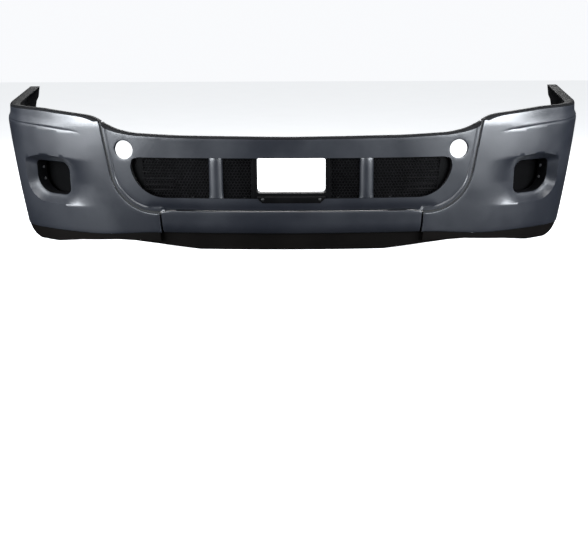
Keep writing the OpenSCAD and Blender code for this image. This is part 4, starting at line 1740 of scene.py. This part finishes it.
@dataclass
class CentreBezel:
    """Black frame of the see-through opening, with the tray below it."""

    half: float = 137.0
    low: float = 238.0
    high: float = 380.0
    rim: float = 15.0
    base: float = 14.0
    wall_back: float = 46.0
    top: float = 385.6
    bottom: float = 203.0
    tray_half: float = 134.0
    tray_low: float = 199.0
    tray_high: float = 227.0
    chamfer: float = 20.0
    tray_proud: float = 5.0
    screw_in: float = 22.0
    screw_rings: tuple[tuple[float, float], ...] = (
        (6.5, 0.2), (6.5, -1.2), (4.6, -1.6), (4.4, -3.6), (2.8, -4.8), (1.2, -5.2))

    def frame(self) -> bpy.types.Object:
        """The frame round the opening.

        Returns:
            The new piece.
        """
        outer = rounded(both_sides([
            (self.half + self.rim, self.top, 3.0), (self.half + self.rim, self.bottom, 2.0),
        ]), 4.0)
        hole = rounded(both_sides([(self.half, self.high - 2.0, 11.0), (self.half, self.low, 14.0)]), 4.0)
        rims = [Rim(on_face(refine(turned(outer), 8.0)), 1.4, self.wall_back),
                Rim(on_face(refine(turned(hole, hole=True), 8.0)), 2.0, self.wall_back)]
        return Sheet(rims, base=self.base, step=9.0).build("centre_bezel_frame", thickness=2.5)

    def tray(self) -> bpy.types.Object:
        """The shelf under the frame, with cut lower corners.

        Returns:
            The new piece.
        """
        outer = rounded(both_sides([
            (self.tray_half, self.tray_high, 2.0),
            (self.tray_half, self.tray_low + self.chamfer, 6.0),
            (self.tray_half - self.chamfer, self.tray_low, 6.0),
        ]), 3.0)
        rims = [Rim(on_face(refine(turned(outer), 7.0)), 4.0, self.wall_back)]
        return Sheet(rims, base=-self.tray_proud, step=8.0).build("centre_bezel_tray", thickness=2.5)

    def screw(self, side: Side) -> bpy.types.Object:
        """A small domed screw with a washer face near one end of the tray.

        Args:
            side: Which end.

        Returns:
            The new piece.
        """
        z = (self.tray_low + self.tray_high) / 2.0 + 2.0
        base = FACE.run_of(self.tray_half - self.screw_in, z)
        angles = np.radians(np.arange(0.0, 360.0, 15.0))
        rings = [FACE.point(base + r * np.cos(angles), z + r * np.sin(angles), d - self.tray_proud)
                 for r, d in self.screw_rings]
        draft = Draft()
        draft.tube(rings, 0.3)
        return draft.make(f"tray_screw_{side.word}", mirror=side is Side.LEFT)

    def build(self) -> None:
        """Builds and dresses the frame, the tray and its screws."""
        frame_piece = finish_piece(self.frame(), Finishes.GRILLE)
        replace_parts(frame_piece, "centre_bezel")
        finish_piece(self.tray(), Finishes.GRILLE)
        for side in Side:
            finish_piece(self.screw(side), Finishes.BLACK_SCREW)


@dataclass
class Valences:
    """The brown-black strips along the bottom: one below each end and the centre air dam."""

    dam_half: float = 704.0
    depth: float = 3.8
    top: float = 65.5
    dam_depth: float = 27.2
    dam_top: float = 88.8

    def strip(self, name: str, s: Array, foot: Array, top: Array, base: float,
              mirror: bool = False) -> bpy.types.Object:
        """One strip between its lower and upper edge, with a rounded lower edge.

        Args:
            name: Name of the piece.
            s: Distances along the face.
            foot: Heights of the lower edge.
            top: Heights of the upper edge.
            base: Depth behind the face.
            mirror: Builds the piece for the left end.

        Returns:
            The new piece.
        """
        lower = np.stack([s, foot], axis=1)
        upper = np.stack([s, top], axis=1)[::-1]
        ends = [np.array([[a[0], z] for z in np.arange(a[1] + 6.0, b[1] - 3.0, 7.0)]).reshape(-1, 2)
                for a, b in ((lower[-1], upper[0]), (lower[0], upper[-1]))]
        loop = tidy(np.vstack([lower, ends[0], upper, ends[1][::-1]]), 1.0)
        return Sheet([Rim(loop, 2.2, 3.0)], base=base, step=9.0).build(name, thickness=2.6, mirror=mirror)

    def end(self, side: Side) -> bpy.types.Object:
        """The strip below one end cover.

        Args:
            side: Which end.

        Returns:
            The new piece.
        """
        c = FACE.corner_start
        s0 = FACE.run_of(SEAM.foot_x, 50.0) + 3.0
        s1 = FACE.run_of(self.dam_half, 50.0)
        s = np.linspace(s0, c + 199.0, 110)
        foot = np.interp(s, [s1, c - 250.0, c - 110.0, c + 10.0, c + 50.0, c + 100.0, c + 150.0, c + 200.0],
                         [34.0, 18.0, 0.4, 0.4, 8.0, 22.0, 40.0, 48.0])
        top = self.top + 17.0 * (1.0 - smooth((s - s0) / 330.0))
        return self.strip(f"{side.word}_end_valence_skin", s, foot, top, self.depth, side is Side.LEFT)

    def dam(self) -> bpy.types.Object:
        """The centre air dam, lowest in the middle.

        Returns:
            The new piece.
        """
        end = FACE.run_of(self.dam_half, 50.0)
        s = np.linspace(-end, end, 150)
        foot = np.interp(np.abs(s), [0.0, 380.0, 560.0, end], [0.4, 0.4, 20.0, 34.0])
        top = np.full_like(s, self.dam_top)
        return self.strip("centre_air_dam_skin", s, foot, top, self.dam_depth)

    def build(self) -> None:
        """Builds and dresses the strips."""
        for side in Side:
            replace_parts(finish_piece(self.end(side), Finishes.VALENCE), f"{side.word}_end_valence")
        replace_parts(finish_piece(self.dam(), Finishes.VALENCE), "centre_air_dam")


class Hardware:
    """CAD pieces, which keep their shape and get their finish."""

    def build(self) -> None:
        """Dresses every CAD node with the finish of its slot; a shared slot takes the first one."""
        by_slot = {finish.value.slot: finish for finish in reversed(Finishes)}
        slots = {part["node"]: part["material_slot"] for part in frame["record"]["subparts"]}
        for name, obj in sorted(frame["nodes"].items()):
            finish = by_slot[slots[name]]
            for place in obj.material_slots:
                place.material = finish.material
            LOG.info("%s: %s", name, finish.value.name)


# ---------------------------------------------------------------- studio

@dataclass(frozen=True)
class Lamp:
    """One soft rectangular lamp, aimed at a point."""

    name: str
    place: tuple[float, float, float]
    aim: tuple[float, float, float]
    size: tuple[float, float]
    power: float
    colour: Rgb = (1.0, 1.0, 1.0)

    def build(self, way: float = 1.0) -> None:
        """Adds the lamp; a way of -1 puts it on the other side.

        Args:
            way: 1 for the right side, -1 for the left.
        """
        data = bpy.data.lights.new(self.name, "AREA")
        data.shape = "RECTANGLE"
        data.size, data.size_y = self.size
        data.energy = self.power
        data.color = self.colour
        lamp = bpy.data.objects.new(self.name, data)
        other = Vector((way, 1.0, 1.0))
        lamp.location = Vector(self.place) * other
        aim = (Vector(self.aim) - Vector(self.place)) * other
        lamp.rotation_euler = aim.to_track_quat("-Z", "Y").to_euler()
        lamp.visible_camera = False
        bpy.context.scene.collection.objects.link(lamp)


@dataclass
class Studio:
    """Pale floor, soft light and the camera."""

    camera_place: tuple[float, float, float] = (0.064, -4.595, 0.874)
    camera_pitch: float = 7.2
    camera_roll: float = 0.2
    lens: float = 66.18
    shift: tuple[float, float] = (-0.0221, -0.1912)
    floor_half: float = 14.0
    floor_colour: Rgb = (0.74, 0.75, 0.76)
    floor_glow: float = 1.0
    floor_bounce: Rgb = (0.02, 0.02, 0.021)
    backdrop: Rgb = (0.95, 0.96, 0.98)
    glow_colour: Rgb = (0.86, 0.92, 1.0)
    glow: float = 0.12
    lamps: tuple[Lamp, ...] = (
        Lamp("overhead", (0.0, -1.0, 3.0), (0.0, -0.3, 0.3), (4.5, 1.6), 120.0),
        Lamp("front", (0.0, -6.0, 2.4), (0.0, -0.3, 0.3), (4.0, 1.4), 85.0, (0.92, 0.95, 1.0)),
        Lamp("rear", (0.0, 3.2, 1.9), (0.0, 0.0, 0.3), (3.6, 1.2), 110.0),
    )
    side_lamps: tuple[Lamp, ...] = (
        Lamp("flank", (2.9, -1.4, 0.9), (0.9, -0.35, 0.55), (1.2, 1.6), 140.0, (0.91, 0.95, 1.0)),
        Lamp("side", (2.7, -3.0, 0.75), (0.7, -0.3, 0.5), (1.5, 1.4), 150.0, (0.9, 0.95, 1.0)),
    )

    def camera(self) -> None:
        """Places the camera in front, a little above the cover, looking slightly down."""
        data = bpy.data.cameras.new("camera")
        data.lens = self.lens
        data.sensor_width = 36.0
        data.shift_x, data.shift_y = self.shift
        data.clip_end = 60.0
        camera = bpy.data.objects.new("camera", data)
        camera.location = self.camera_place
        pitch, roll = math.radians(90.0 - self.camera_pitch), math.radians(self.camera_roll)
        camera.rotation_euler = Euler((pitch, roll, 0.0))
        bpy.context.scene.collection.objects.link(camera)
        bpy.context.scene.camera = camera

    def floor(self) -> None:
        """A wide pale floor with a faint texture, which throws only little light back up."""
        mesh = bpy.data.meshes.new("floor")
        half = self.floor_half
        mesh.from_pydata([(-half, -half, 0.0), (half, -half, 0.0), (half, half, 0.0), (-half, half, 0.0)],
                         [], [(0, 1, 2, 3)])
        floor = bpy.data.objects.new("floor", mesh)
        bpy.context.scene.collection.objects.link(floor)
        material = bpy.data.materials.new("pale_floor")
        material.use_nodes = True
        tree = Tree(material.node_tree)
        paler = tuple(c * 1.05 for c in self.floor_colour)
        pale = tree.mix(tree.noise(tree.place(), 3.0, 4.0, 0.55), self.floor_colour, paler)
        seen = tree.add("ShaderNodeBsdfPrincipled")
        seen.inputs["Roughness"].default_value = 0.8
        seen.inputs["Emission Strength"].default_value = self.floor_glow
        tree.link(pale, seen.inputs["Base Color"])
        tree.link(pale, seen.inputs["Emission Color"])
        bounced = tree.add("ShaderNodeBsdfDiffuse")
        tree.put(self.floor_bounce, bounced.inputs["Color"])
        tree.for_eye(bounced, seen, "ShaderNodeOutputMaterial")
        floor.data.materials.append(material)

    def world(self) -> None:
        """A near-white backdrop to the eye that lights the object only gently."""
        world = bpy.data.worlds.new("surround")
        world.use_nodes = True
        bpy.context.scene.world = world
        tree = Tree(world.node_tree)
        seen, glow = tree.add("ShaderNodeBackground"), tree.add("ShaderNodeBackground")
        tree.put(self.backdrop, seen.inputs["Color"])
        tree.put(self.glow_colour, glow.inputs["Color"])
        glow.inputs["Strength"].default_value = self.glow
        tree.for_eye(glow, seen, "ShaderNodeOutputWorld")

    def build(self) -> None:
        """Sets up the whole studio."""
        self.camera()
        self.world()
        self.floor()
        for lamp in self.lamps:
            lamp.build()
        for way in (-1.0, 1.0):
            for lamp in self.side_lamps:
                lamp.build(way)
        settings = bpy.context.scene.view_settings
        settings.view_transform = "Standard"
        settings.look = "None"


def main() -> None:
    """Builds the studio and every piece of the bumper."""
    logging.basicConfig(level=logging.INFO, format="%(name)s %(message)s")
    Studio().build()
    Hardware().build()
    cover = CentreCover()
    cover.build()
    LowerPanel().build()
    for side in Side:
        EndCover(side).build()
        SeamStrip(side).build()
        GrilleInsert(side, cover).build()
    CentreBezel().build()
    Valences().build()


if __name__ == "__main__":
    main()
